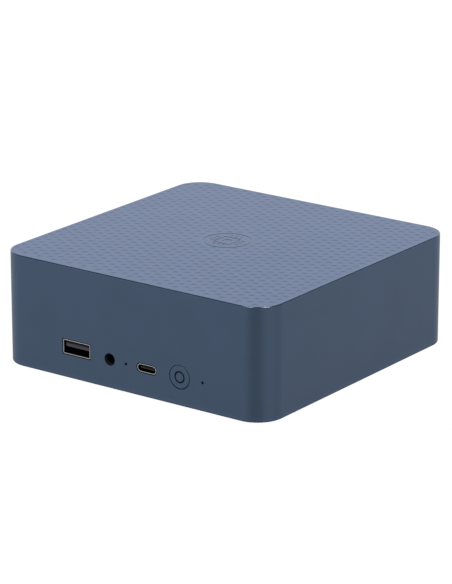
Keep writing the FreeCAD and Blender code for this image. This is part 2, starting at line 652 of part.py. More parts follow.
def socket_contacts():
    """Plated contacts of every socket, each a separate strip."""
    strips = [c for place in usb_a_places() for c in usb_a_contacts(*place)]
    return group(strips + usb_c_contacts() + audio_jack_legs() + hdmi_contacts() + lan_contacts())


def mains_inlet():
    """Two-pole mains inlet: an oval body with a figure-eight recess, held through the rear panel."""
    rim = tunnel(18.8, 10.4, 5.15, INNER - 17.0, BACK - 0.1, MAINS_X, MAINS_Z)
    backing = tunnel(21.5, 13.0, 2.0, INNER - 3.4, INNER - 1.4, MAINS_X, MAINS_Z)
    floor = INNER - 14.5
    cuts = [box(MAINS_X - 3, MAINS_X + 3, floor, BACK + 1, MAINS_Z - 2.6, MAINS_Z + 2.6)]
    for x in (MAINS_X - MAINS_LOBE_X, MAINS_X + MAINS_LOBE_X):
        cuts.append(rod_y(x, MAINS_Z, floor, BACK + 1, MAINS_LOBE_R))
        cuts.append(rod_y(x, MAINS_Z, INNER - 20, INNER, MAINS_PIN_R + 0.01))
    return join([rim, backing]).cut(cuts)


def mains_pins():
    """Two round contact pins with domed ends."""
    pins = []
    for x in (MAINS_X - MAINS_LOBE_X, MAINS_X + MAINS_LOBE_X):
        pin = rod_y(x, MAINS_Z, INNER - 18.2, INNER - 1.5, MAINS_PIN_R)
        pins.append(pin.makeFillet(0.7, [e for e in pin.Edges if e.BoundBox.YMin > INNER - 1.6]))
    return group(pins)


# ---- motherboard ---------------------------------------------------------------------
def motherboard():
    """Circuit board, notched around the cover posts, the button and the audio socket."""
    board = box(-BOARD_SIDE, BOARD_SIDE, BOARD_FRONT, BOARD_BACK, Z_BOARD_LOW, Z_BOARD)
    low, high = Z_BOARD_LOW - 1, Z_BOARD + 1
    cuts = []
    for x, y in corners(POST_XY, POST_XY):
        cuts.append(block(x + math.copysign(5, x), y + math.copysign(5, y), low, 18.4, 18.4, high - low))
    cuts.append(box(BUTTON_X - 7.8, BUTTON_X + 7.8, -61, -56.5, low, high))
    cuts.append(box(JACK_X - 3.3, JACK_X + 3.3, -61, -47.6, low, high))
    cuts += [rod_z(x, y, low, high, 1.6) for x, y in corners(BOARD_SCREW_X, BOARD_SCREW_Y)]
    cuts += [rod_z(CPU_X + x, CPU_Y + y, low, high, 1.3) for x, y in corners(*COOLER_SCREWS)]
    for x, y in ((USB_A_X, FRONT_MOUTH + 10), (REAR_USB_X, REAR_MOUTH - 10)):
        for tab_x in (x - USB_A_W / 2 + SHEET / 2, x + USB_A_W / 2 - SHEET / 2):
            cuts.append(block(tab_x, y, low, 0.9, 2.6, high - low))
    return board.cut(cuts)


def motherboard_screws():
    return [screw(x, y, Z_BOARD_LOW - 1.6 - GAP, Z_BOARD + 6, 2.5, 1.6, 1.23)
            for x, y in corners(BOARD_SCREW_X, BOARD_SCREW_Y)]


def processor():
    """Soldered carrier with two bare dies and two rows of small capacitors."""
    carrier = block(CPU_X, CPU_Y, Z_BOARD + GAP, 35.0, 25.0, 1.2)
    low = Z_BOARD + GAP + 1.2
    caps = []
    for x in range(-14, 15, 4):
        caps += [block(CPU_X + x, CPU_Y + y, low - 0.1, 1.0, 0.6, 0.5) for y in (-10.5, 10.5)]
    dies = [
        block(CPU_X - 4, CPU_Y, low + GAP, 16.0, 9.5, 0.75),
        block(CPU_X + 10, CPU_Y, low + GAP, 7.5, 7.0, 0.75),
    ]
    return group([carrier.fuse(caps)] + dies)


def power_chokes():
    """Moulded chokes of the processor's supply, with bevelled corners."""
    chokes = []
    for x in SUPPLY_XS:
        choke = block(x, -35, Z_BOARD + GAP, 7.0, 7.0, 4.0)
        uprights = [e for e in choke.Edges if e.BoundBox.ZLength > 3.9]
        chokes.append(choke.makeChamfer(0.6, uprights))
    return chokes


def board_capacitors():
    """Solid capacitors that stand on plastic bases."""
    cans = []
    for x in SUPPLY_XS:
        y = -27
        base = block(x, y, Z_BOARD + GAP, 5.4, 5.4, 0.8)
        can = rod_z(x, y, Z_BOARD + 0.5, Z_BOARD + 6.2, 2.5)
        can = can.makeFillet(0.4, [e for e in can.Edges if e.BoundBox.ZMin > Z_BOARD + 6])
        cans.append(base.fuse(can))
    return group(cans)


def board_chips():
    """Network, sound and control chips on the board, and the supply's chokes."""
    spots = [(-25.5, 35.0, 7, 7), (-7.7, 35.0, 7, 7), (-14, -43, 6, 6), (4, -42, 9, 9), (8.6, 36.5, 5, 5),
             (38, -30, 10, 10), (45, 12, 8, 6), (-48, 10, 6, 8)]
    chips = [block(x, y, Z_BOARD + GAP, dx, dy, 0.95) for x, y, dx, dy in spots]
    return group(chips + power_chokes())


def board_headers():
    """White plug-in headers for the fan and the power supply."""
    headers = []
    for x, y, dx, dy in ((-50, -14, 6.0, 5.0), (22, -38, 8.0, 7.0)):
        shell = block(x, y, Z_BOARD + GAP, dx, dy, 5.0)
        headers.append(shell.cut(block(x, y, Z_BOARD + 1.5, dx - 1.2, dy - 1.2, 6.0)))
    return group(headers)


# ---- memory --------------------------------------------------------------------------
def memory_socket():
    """Edge connector for the memory module, with a round seat for each latch at its ends."""
    body = box(MEM_X, -48.5, -37.4, 37.4, 5.6, Z_BOARD_LOW - GAP)
    reach = MODULE_LEN / 2 + GAP
    cuts = [box(-52.1, -48, -reach, reach, MODULE_Z - GAP, MODULE_Z + MODULE_T + GAP)]
    for s in (-1, 1):
        cuts.append(rod_z(LATCH_X, s * LATCH_Y, 6.1, 9.1, 0.84))
        y0, y1 = sorted((s * (LATCH_Y - 0.6), s * (LATCH_Y + 0.9)))
        cuts.append(box(LATCH_X, -48, y0, y1, 6.1, 9.1))
    return body.cut(cuts)


def memory_latch(side):
    """Sprung side arm that turns about its seat and hooks over the module's edge."""
    y = side * LATCH_Y
    pin = rod_z(LATCH_X, y, 6.2, 9.0, 0.8)
    y0, y1 = sorted((y - side * 0.45, y + side * 0.45))
    arm = box(LATCH_X, -27.0, y0, y1, 6.2, 9.0)
    y2, y3 = sorted((y + side * 0.45, y - side * 2.0))
    hook = box(-31.0, -28.0, y2, y3, 6.2, MODULE_Z - 0.06)
    y4, y5 = sorted((y, y + side * 1.6))
    finger_tab = box(-28.6, -26.2, y4, y5, 6.2, 9.0)
    return join([pin, arm, hook, finger_tab])


def memory_latch_front():
    return memory_latch(-1)


def memory_latch_back():
    return memory_latch(1)


def memory_module():
    """Memory module with a latch notch in each side and four chips on each face."""
    board = box(-52.0, -52.0 + MODULE_W, -MODULE_LEN / 2, MODULE_LEN / 2, MODULE_Z, MODULE_Z + MODULE_T)
    notches = [rod_z(-34.0, s * MODULE_LEN / 2, MODULE_Z - 1, MODULE_Z + 3, 0.9) for s in (-1, 1)]
    chips = []
    for y in (-25.5, -12.0, 12.0, 25.5):
        for z in (MODULE_Z - 1.0, MODULE_Z + MODULE_T + 0.02):
            chips.append(block(-34.5, y, z, 10.0, 11.0, 0.98))
    return group([board.cut(notches)] + chips)


# ---- drive, radio and clock battery --------------------------------------------------
def card_sockets():
    """Edge sockets for two drives and the radio card."""
    sockets = []
    for x in CARD_XS:
        body = box(x - 11, x + 11, 36.2, 44.9, 6.2, Z_BOARD_LOW - GAP)
        slot = box(x - 11.2, x + 11.2, 36, CARD_Y + GAP, CARD_Z - GAP, CARD_Z + CARD_T + GAP)
        step = box(x - 11.2, x + 11.2, 36, 39.0, 6.0, CARD_Z + CARD_T)
        sockets.append(body.cut([slot, step]))
    return group(sockets)


def edge_card(x, length):
    """Plug-in card with a half-round screw notch in its free end."""
    y_end = CARD_Y - length
    card = box(x - CARD_W / 2, x + CARD_W / 2, y_end, CARD_Y, CARD_Z, CARD_Z + CARD_T)
    key = box(x + 5.4, x + 6.6, CARD_Y - 3.4, CARD_Y + 1, CARD_Z - 1, CARD_Z + 2)
    return card.cut([rod_z(x, y_end, CARD_Z - 1, CARD_Z + 2, 1.8), key])


def drive():
    """Solid-state drive: a card with its controller, buffer and two flash chips on the lower face."""
    x = CARD_XS[0]
    spots = ((28, 12, 12), (13, 11, 8), (-3, 18, 12), (-22, 18, 12))
    chips = [block(x, y, CARD_Z - 1.2, dx, dy, 1.18) for y, dx, dy in spots]
    return group([edge_card(x, DRIVE_LEN)] + chips)


def radio_card():
    """Wireless card with a pressed tin can over its chips and two round aerial sockets."""
    x = CARD_XS[2]
    can = block(x, 25, CARD_Z - 1.5, 15.0, 13.0, 1.48)
    can = can.makeFillet(0.4, [e for e in can.Edges if e.BoundBox.ZMax < CARD_Z - 1.4])
    cups = [rod_z(x + s, 15.2, CARD_Z - 1.0, CARD_Z - 0.02, 1.1) for s in (-6, 6)]
    return group([edge_card(x, RADIO_LEN), can] + cups)


CARD_ENDS = tuple((x, CARD_Y - length) for x, length in zip(CARD_XS, (DRIVE_LEN, DRIVE_LEN, RADIO_LEN)))


def card_standoffs():
    """Brass posts that hold the cards' free ends off the board."""
    posts = []
    for x, y in CARD_ENDS:
        post = rod_z(x, y, CARD_Z + CARD_T + GAP, Z_BOARD_LOW - GAP, 2.4)
        posts.append(post.cut(rod_z(x, y, CARD_Z, CARD_Z + CARD_T + 1.6, 1.02)))
    return group(posts)


def card_screws():
    """One screw for the drive and one for the radio card; the second drive slot is empty."""
    ends = (CARD_ENDS[0], CARD_ENDS[2])
    return [screw(x, y, CARD_Z - GAP - 0.7, CARD_Z + CARD_T + 1.5, 2.5, 0.7, 1.0) for x, y in ends]


def thermal_pad():
    x = CARD_XS[0]
    return slab(20.0, 66.0, CARD_Z - 1.2 - 0.55, CARD_Z - 1.2 - GAP, 1.0, x, 3.0)


def drive_heat_spreader():
    """Aluminium plate under the drives, slotted so that intake air can pass."""
    low = COVER_HIGH + 0.55
    high = CARD_Z - 1.2 - 0.6
    x0, x1 = CARD_XS[0] - 11, CARD_XS[1] + 11
    holes = [slot_wire(x, y, 2.4, 26.0, low) for x in (6.0, 10.5, 15.0, 19.5, 24.0) for y in (-18, 18)]
    return slab(x1 - x0, 70.0, low, high, 1.5, (x0 + x1) / 2, 0.0, holes)


def clock_battery():
    """Stepped steel button cell inside an open plastic ring."""
    x, y, r = 41.0, -16.0, 10.0
    cell = join([rod_z(x, y, 7.2, 9.4, r), rod_z(x, y, 6.3, 7.2, r - 1.1)])
    cell = cell.makeFillet(0.3, [e for e in cell.Edges if e.BoundBox.ZMax < 6.4])
    ring = rod_z(x, y, 7.6, Z_BOARD_LOW - GAP, r + 1.4).cut(rod_z(x, y, 7, 10, r + 0.1))
    return group([cell, ring.cut(box(x + 4, x + 14, y - 4, y + 4, 7, 10))])


# ---- cooler and fan ------------------------------------------------------------------
COOLER_SCREWS = (27.0, 22.0)             # from the processor's centre
COLD_LOW = Z_BOARD + 1.2 + 0.75 + 3 * GAP
COLD_X, COLD_Y = 40.0, 34.0


def pipe_paths():
    """Centre lines of the three heat pipes, from the cold plate up to the fins."""
    z_fin = FAN_LOW - PIPE_R - 0.05
    y_fin = 53.0
    paths = []
    for x, x_end in ((CPU_X - 10, FIN_X0 + 1), (CPU_X + 10, FIN_X1 - 1)):
        paths.append([Vec(x, CPU_Y - 15, PIPE_Z), Vec(x, 26, PIPE_Z), Vec(x, 41, z_fin),
                      Vec(x, y_fin, z_fin), Vec(x_end, y_fin, z_fin)])
    paths.append([Vec(CPU_X, CPU_Y - 15, PIPE_Z), Vec(CPU_X, 26, PIPE_Z), Vec(CPU_X, 41, z_fin),
                  Vec(CPU_X, 59, z_fin)])
    return paths


def heat_pipes():
    return group([rod_along(points, PIPE_R, 5.0) for points in pipe_paths()])


def cold_plate():
    """Copper block on the processor with a round-bottomed groove for each pipe."""
    plate_top = PIPE_Z + 0.4
    body = block(CPU_X, CPU_Y, COLD_LOW, COLD_X, COLD_Y, plate_top - COLD_LOW)
    cuts = []
    for x in (CPU_X - 10, CPU_X, CPU_X + 10):
        cuts.append(rod_y(x, PIPE_Z, CPU_Y - 20, CPU_Y + 20, PIPE_R + 0.02))
        cuts.append(box(x - PIPE_R - 0.02, x + PIPE_R + 0.02, CPU_Y - 20, CPU_Y + 20, PIPE_Z, plate_top + 1))
    return body.cut(cuts)


def cooler_bracket():
    """Sprung steel frame that presses the cold plate down at four screws."""
    low, high = COLD_LOW + 0.6, COLD_LOW + 1.4
    frame = slab(COLD_X + 5, COLD_Y + 5, low, high, 1.5, CPU_X, CPU_Y)
    arms = []
    for x, y in corners(*COOLER_SCREWS):
        reach = Vec(x, y, 0)
        arm = box(0, reach.Length, -2.2, 2.2, low, high)
        arm.rotate(Vec(0, 0, 0), Vec(0, 0, 1), math.degrees(math.atan2(y, x)))
        arm.translate(Vec(CPU_X, CPU_Y, 0))
        arms += [arm, rod_z(CPU_X + x, CPU_Y + y, low, high, 3.2)]
    frame = join([frame] + arms)
    cuts = [block(CPU_X, CPU_Y, low - 1, COLD_X + 0.2, COLD_Y + 0.2, 3)]
    cuts += [rod_z(CPU_X + x, CPU_Y + y, low - 1, high + 1, 1.3) for x, y in corners(*COOLER_SCREWS)]
    return frame.cut(cuts)


def cooler_screws():
    """Four screws that pull the bracket towards the board."""
    top = COLD_LOW + 1.4 + GAP + 1.6
    places = [(CPU_X + x, CPU_Y + y) for x, y in corners(*COOLER_SCREWS)]
    return [screw(x, y, top, Z_BOARD_LOW + 0.1, 2.4, 1.6, 1.1) for x, y in places]


def fin_stack():
    """Aluminium fins on a common base, between the fan's outlet and the exhaust slots."""
    pitch, fin_t, base_t = 2.0, 0.45, 0.8
    z0, z1 = FAN_LOW, FAN_HIGH
    points = [(FIN_X0, z0), (FIN_X1, z0)]
    count = int((FIN_X1 - FIN_X0) / pitch)
    for i in range(count, -1, -1):
        x0 = FIN_X0 + i * pitch
        x1 = min(x0 + fin_t, FIN_X1)
        points += [(x1, z0 + base_t), (x1, z1), (x0, z1), (x0, z0 + base_t)]
    profile = [Vec(x, FIN_Y0, z) for x, z in points[:-1]]
    return Part.Face(Part.makePolygon(profile + profile[:1])).extrude(Vec(0, FIN_Y1 - FIN_Y0, 0))


def fan_outline(grow, z0, z1, y_end):
    """Round fan chamber joined to a straight outlet that faces the fins."""
    r = FAN_R + grow
    return join([rod_z(FAN_X, FAN_Y, z0, z1, r), box(FAN_X - r, FAN_X + r, FAN_Y, y_end, z0, z1)])


def fan_housing():
    """Plastic fan chamber: floor with intake openings, side wall, outlet, bearing seat and two legs."""
    wall, floor = 1.4, 1.2
    body = fan_outline(0, FAN_LOW, FAN_HIGH - 0.6, 45.8)
    body = body.cut(fan_outline(-wall, FAN_LOW + floor, FAN_HIGH, 47.0))
    spokes = [box(0, 24, -1.5, 1.5, FAN_LOW, FAN_LOW + floor) for _ in range(3)]
    for i, spoke in enumerate(spokes):
        spoke.rotate(Vec(0, 0, 0), Vec(0, 0, 1), 120 * i + 30)
        spoke.translate(Vec(FAN_X, FAN_Y, 0))
    intake = rod_z(FAN_X, FAN_Y, FAN_LOW - 1, FAN_LOW + floor + 1, 22.0)
    intake = intake.cut([rod_z(FAN_X, FAN_Y, FAN_LOW - 2, FAN_LOW + floor + 2, 12.0)] + spokes)
    tube = rod_z(FAN_X, FAN_Y, FAN_LOW + 0.5, FAN_LOW + 6.5, 3.4)
    seat = rod_z(FAN_X, FAN_Y, FAN_LOW + 0.5, FAN_LOW + 8, 2.5 + GAP / 5)
    legs = [rod_z(x, y, Z_BOARD + GAP, FAN_HIGH - 0.6, 2.6) for x, y in LEGS]
    leg_holes = [rod_z(x, y, FAN_LOW - 1, FAN_HIGH, 1.0) for x, y in LEGS]
    chamber = fan_outline(-wall, FAN_LOW + floor, FAN_HIGH, 47.0)
    return join([body.cut(intake), tube] + [leg.cut(chamber) for leg in legs]).cut([seat] + leg_holes)


def fan_cover():
    """Thin steel lid of the fan chamber with a round intake."""
    lid = fan_outline(0, FAN_HIGH - 0.6 + GAP, FAN_HIGH, 45.8)
    lugs = [rod_z(x, y, FAN_HIGH - 0.6 + GAP, FAN_HIGH, 2.6) for x, y in LEGS]
    cuts = [rod_z(FAN_X, FAN_Y, FAN_LOW, Z_TOP, 22.0)]
    cuts += [rod_z(x, y, FAN_LOW, Z_TOP, 1.1) for x, y in LEGS]
    return join([lid] + lugs).cut(cuts)


def fan_screws():
    return [screw(x, y, FAN_HIGH + GAP + 1.0, FAN_HIGH - 5.5, 1.9, 1.0, 0.98) for x, y in LEGS]


def inner_screws():
    """Small machine screws inside: board, cards, cooler and fan lid."""
    return group(motherboard_screws() + card_screws() + cooler_screws() + fan_screws())


HUB_R, HUB_LOW, HUB_TOP = 13.0, FAN_LOW + 2.0, FAN_HIGH - 1.1
SHAFT_R = 0.98
BLADE_COUNT = 29
BLADE_R = 31.0


def fan_blade(turn):
    """One backward-curved blade between the hub and the tip circle."""
    def at(r, degrees):
        t = math.radians(degrees + turn)
        return Vec(FAN_X + r * math.cos(t), FAN_Y + r * math.sin(t), HUB_LOW + 0.4)
    thick = 1.5                              # degrees at mid radius
    lead = Part.Arc(at(HUB_R - 0.4, 0), at(22, 9), at(BLADE_R, 26)).toShape()
    tip = Part.makeLine(at(BLADE_R, 26), at(BLADE_R, 26 + thick))
    trail = Part.Arc(at(BLADE_R, 26 + thick), at(22, 9 + thick * 1.4), at(HUB_R - 0.4, thick * 2.2)).toShape()
    root = Part.makeLine(at(HUB_R - 0.4, thick * 2.2), at(HUB_R - 0.4, 0))
    return Part.Face(Part.Wire([lead, tip, trail, root])).extrude(Vec(0, 0, 6.8))


def fan_impeller():
    """Fan wheel: a cup-shaped hub with curved blades."""
    cup = rod_z(FAN_X, FAN_Y, HUB_LOW, HUB_TOP, HUB_R)
    cup = cup.makeFillet(0.8, [e for e in cup.Edges if e.BoundBox.ZMin > HUB_TOP - 0.01])
    cup = cup.cut([rod_z(FAN_X, FAN_Y, HUB_LOW - 1, HUB_TOP - 1.2, HUB_R - 1.0)])
    cup = cup.fuse(rod_z(FAN_X, FAN_Y, HUB_TOP - 2.6, HUB_TOP - 1.0, 3.0))
    cup = cup.cut(rod_z(FAN_X, FAN_Y, HUB_LOW, HUB_TOP - 0.6, 1.0))
    return cup.fuse([fan_blade(i * 360.0 / BLADE_COUNT) for i in range(BLADE_COUNT)]).removeSplitter()


def fan_magnet():
    """Ring magnet inside the fan's hub."""
    ring = rod_z(FAN_X, FAN_Y, HUB_LOW + 0.3, HUB_TOP - 1.5, HUB_R - 1.0 - GAP / 5)
    return ring.cut(rod_z(FAN_X, FAN_Y, HUB_LOW - 1, HUB_TOP, HUB_R - 2.6))


def fan_shaft():
    """Steel shaft fixed in the hub; it turns in the bush."""
    return rod_z(FAN_X, FAN_Y, FAN_LOW + 1.0, HUB_TOP - 0.65, SHAFT_R)


def fan_bush():
    """Sintered sleeve bearing pressed into the housing's tube."""
    sleeve = rod_z(FAN_X, FAN_Y, FAN_LOW + 0.6, FAN_LOW + 6.5, 2.5)
    return sleeve.cut(rod_z(FAN_X, FAN_Y, FAN_LOW + 0.9, FAN_LOW + 7, SHAFT_R + 0.04))


def fan_stator():
    """Laminated core with four wound poles, around the bearing tube."""
    low, high = FAN_LOW + 3.4, FAN_LOW + 6.2
    core = rod_z(FAN_X, FAN_Y, low, high, 5.0)
    poles = []
    for i in range(4):
        stem, shoe = box(3, 9, -1.6, 1.6, low, high), box(8, 9.8, -4.0, 4.0, low, high)
        winding = box(5.3, 7.7, -2.8, 2.8, low - 0.7, high + 0.7)
        for piece in (stem, shoe, winding):
            piece.rotate(Vec(0, 0, 0), Vec(0, 0, 1), 90 * i)
            piece.translate(Vec(FAN_X, FAN_Y, 0))
            poles.append(piece)
    trimmed = join([core] + poles).common(rod_z(FAN_X, FAN_Y, low - 1, high + 1, HUB_R - 2.9))
    return trimmed.cut(rod_z(FAN_X, FAN_Y, low - 1, high + 1, 3.4 + GAP / 5))


# ---- power supply --------------------------------------------------------------------
def psu_tray():
    """Open insulating tray around the mains power supply, with slots for cooling air."""
    tray = box(PSU_X0, PSU_X1, PSU_Y0, PSU_Y1, PSU_LOW, PSU_HIGH)
    tray = tray.cut(box(PSU_X0 + 0.8, PSU_X1 - 0.8, PSU_Y0 + 0.8, PSU_Y1 - 0.8, PSU_LOW + 0.8, PSU_HIGH + 1))
    slots = [box(PSU_X0 - 1, PSU_X1 + 1, y, y + 2.2, 26, 38) for y in range(-32, 38, 6)]
    slots.append(box(33.2, 44.8, PSU_Y1 - 2, PSU_Y1 + 1, MAINS_Z - 1.2, PSU_HIGH + 1))
    slots.append(box(PSU_X0 - 1, PSU_X0 + 2, -41.4, -34.6, PSU_LOW + 8, PSU_HIGH + 1))
    feet = [rod_z(x, y, Z_BOARD + GAP, PSU_LOW + 0.2, 1.8) for x in (30.4, 48.0) for y in (-42.2, -1.0)]
    return tray.cut(slots).fuse(feet)


def psu_board():
    low = PSU_LOW + 2.6
    board = box(PSU_X0 + 1.2, PSU_X1 - 1.2, PSU_Y0 + 1.2, PSU_Y1 - 1.2, low, low + 1.6)
    return board.cut([block(39, 8, low - 1, 14, 1.0, 4), block(39, -24, low - 1, 12, 1.0, 4)])


PSU_DECK = PSU_LOW + 4.2 + GAP


def psu_transformer():
    """Ferrite core around a taped winding, on a plastic bobbin."""
    x, y = 39.2, -8.0
    core = block(x, y, PSU_DECK + 1.2, 18.0, 15.0, 15.5)
    window = block(x, y, PSU_DECK + 3.6, 12.6, 16.0, 10.7)
    winding = rod_z(x, y, PSU_DECK + 3.6, PSU_DECK + 14.3, 6.2)
    bobbin = block(x, y, PSU_DECK, 19.5, 12.0, 1.2)
    return join([core.cut(window), winding, bobbin])


def psu_capacitors():
    """Tall round capacitors with a scored top, and two boxed film capacitors."""
    bulk, output = (5.0, 18.0), (4.0, 14.0)          # radius and height of each size
    cans = []
    spots = ((34.6, 15.0, bulk), (45.0, 15.0, bulk), (34.0, -24.5, output), (43.4, -24.5, output))
    for x, y, (r, h) in spots:
        top = PSU_DECK + h
        can = rod_z(x, y, PSU_DECK, top, r)
        can = can.makeFillet(0.6, edges_near(can, z_low=top))
        score = top - 0.25
        cans.append(can.cut([block(x, y, score, 1.5 * r, 0.4, 1), block(x, y, score, 0.4, 1.5 * r, 1)]))
    films = [block(33.6, 34.6, PSU_DECK, 7.5, 6.4, 11.0), block(44.6, 34.6, PSU_DECK, 8.0, 6.4, 9.0)]
    return group(cans + films)


def psu_choke():
    """Mains filter choke: a ring core that lies on its side between two windings."""
    x, y = 39.2, 27.0
    ring = Part.makeTorus(5.6, 2.6, Vec(x, y, PSU_DECK + 8.4), Vec(0, 1, 0))
    base = block(x, y, PSU_DECK, 14.0, 6.0, 1.0)
    return join([ring, base])


def psu_magnetics():
    return group([psu_transformer(), psu_choke()])


def psu_heat_sink():
    """Bent aluminium strip that cools the switching transistor."""
    wall = box(PSU_X1 - 3.2, PSU_X1 - 1.8, -41, -30.5, PSU_DECK, PSU_DECK + 15)
    lip = box(PSU_X1 - 9.5, PSU_X1 - 1.8, -41, -30.5, PSU_DECK + 13.6, PSU_DECK + 15)
    return join([wall, lip])


# ---- wiring --------------------------------------------------------------------------
def mains_wires():
    """Two insulated wires from the inlet's pins down to the power supply's board."""
    wires = []
    for s in (-1, 1):
        x, y = MAINS_X + s * MAINS_LOBE_X, 39.6
        points = [Vec(x, INNER - 18.4, MAINS_Z), Vec(x, y, MAINS_Z), Vec(x, y, PSU_DECK + GAP)]
        wires.append(rod_along(points, 0.75, 1.6))
    return wires


def psu_output_wires():
    """Four wires that cross the tray's edge and drop to the motherboard's header."""
    wires = []
    for i in range(4):
        x0, x1 = 30.4 + i * 0.6, 23.9 - i * 1.3
        y = -40.0 + i * 1.35
        z = PSU_DECK + 7.5
        points = [Vec(x0, y, PSU_DECK + GAP), Vec(x0, y, z), Vec(x1, y, z), Vec(x1, y, Z_BOARD + 1.6)]
        wires.append(rod_along(points, 0.6, 1.4))
    return wires


def fan_wires():
    """Three thin wires from the fan to its header."""
    wires = []
    for i in range(3):
        x0, x1, y, z = -51.2 + i * 1.2, -40.0 + i * 1.2, -15.0 + i, 24.0 - i * 0.9
        points = [Vec(x0, y, Z_BOARD + 1.6), Vec(x0, y, z), Vec(x1, y, z), Vec(x1, y, FAN_LOW - GAP)]
        wires.append(rod_along(points, 0.4, 1.4))
    return wires


def internal_wires():
    """Loose insulated wires of the mains inlet, the power supply and the fan."""
    return group(mains_wires() + psu_output_wires() + fan_wires())


def aerials():
    """Two printed aerials near the lower cover's front edge, and their thin coaxial leads."""
    low = COVER_HIGH + GAP
    foils = [slab(30.0, 7.0, low, low + 0.35, 0.8, x, -52.5) for x in (-20.0, 24.0)]
    card_x, card_y = CARD_XS[2], 15.2
    routes = ((6, 13, -48.0, 30.0), (-6, -12, -45.0, -14.0))
    leads = []
    for socket_dx, side_dx, cross_y, foil_x in routes:
        stops = ((card_x + socket_dx, card_y), (card_x + side_dx, card_y), (card_x + side_dx, cross_y),
                 (foil_x, cross_y), (foil_x, -50.5))
        leads.append(rod_along([Vec(x, y, CARD_Z - 1.7) for x, y in stops], 0.55, 2.0))
    return group(foils + leads)


BUILDERS = [
    top_shell, bottom_cover, rear_panel, rubber_feet, bottom_cover_screws, dust_filter,
    power_button, power_button_ring, button_bracket, power_switch_body, power_switch_plunger,
    reset_switch_body, reset_switch_plunger, light_guides,
    front_usb_a_shell, front_usb_c_shell, audio_jack_body, rear_usb_shells, hdmi_shells, lan_shells,
    socket_inserts, socket_contacts, mains_inlet, mains_pins,
    motherboard, processor, board_chips, board_capacitors, board_headers, inner_screws,
    memory_socket, memory_latch_front, memory_latch_back, memory_module,
    card_sockets, drive, radio_card, card_standoffs, thermal_pad, drive_heat_spreader, clock_battery,
    heat_pipes, cold_plate, cooler_bracket, fin_stack,
    fan_housing, fan_cover, fan_impeller, fan_magnet, fan_shaft, fan_bush, fan_stator,
    psu_tray, psu_board, psu_magnetics, psu_capacitors, psu_heat_sink, internal_wires, aerials,
]


def main():
    os.makedirs("parts", exist_ok=True)
    for build in BUILDERS:
        build().exportStep(f"parts/{build.__name__}.step")


main()
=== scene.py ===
"""Looks of the mini desktop computer: dimpled roof, finishes for every piece, studio and camera."""

import json
import math
from collections import namedtuple

import bpy
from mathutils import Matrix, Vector
from mathutils.geometry import delaunay_2d_cdt


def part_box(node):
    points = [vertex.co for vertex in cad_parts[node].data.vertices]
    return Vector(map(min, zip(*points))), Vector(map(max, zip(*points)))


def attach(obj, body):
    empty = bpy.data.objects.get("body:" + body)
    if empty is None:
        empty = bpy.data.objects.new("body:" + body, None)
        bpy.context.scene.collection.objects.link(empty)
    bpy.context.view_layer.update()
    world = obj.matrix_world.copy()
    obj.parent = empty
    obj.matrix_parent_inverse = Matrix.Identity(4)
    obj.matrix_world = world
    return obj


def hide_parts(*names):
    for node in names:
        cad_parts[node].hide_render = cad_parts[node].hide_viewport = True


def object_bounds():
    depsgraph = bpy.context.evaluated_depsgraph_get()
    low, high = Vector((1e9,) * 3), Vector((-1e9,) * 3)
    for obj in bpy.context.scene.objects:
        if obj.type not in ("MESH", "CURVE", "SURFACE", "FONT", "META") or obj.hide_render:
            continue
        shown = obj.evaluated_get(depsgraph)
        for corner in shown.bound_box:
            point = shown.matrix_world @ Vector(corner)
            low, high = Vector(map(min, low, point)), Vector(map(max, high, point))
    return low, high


MM = 0.001                     # all drawing below is in millimetres, all meshes are in metres

Outline = namedtuple("Outline", "x y half_x half_y corner")        # a rounded rectangle

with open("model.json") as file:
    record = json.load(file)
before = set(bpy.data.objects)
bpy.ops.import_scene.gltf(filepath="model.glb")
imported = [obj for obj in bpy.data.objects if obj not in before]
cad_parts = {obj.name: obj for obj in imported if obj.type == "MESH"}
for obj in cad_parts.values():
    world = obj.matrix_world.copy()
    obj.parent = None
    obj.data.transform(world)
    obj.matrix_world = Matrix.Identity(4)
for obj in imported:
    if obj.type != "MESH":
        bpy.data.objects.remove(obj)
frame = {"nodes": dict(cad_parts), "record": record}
cad_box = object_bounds()
nodes = frame["nodes"]


# ---------------------------------------------------------------- shader building blocks

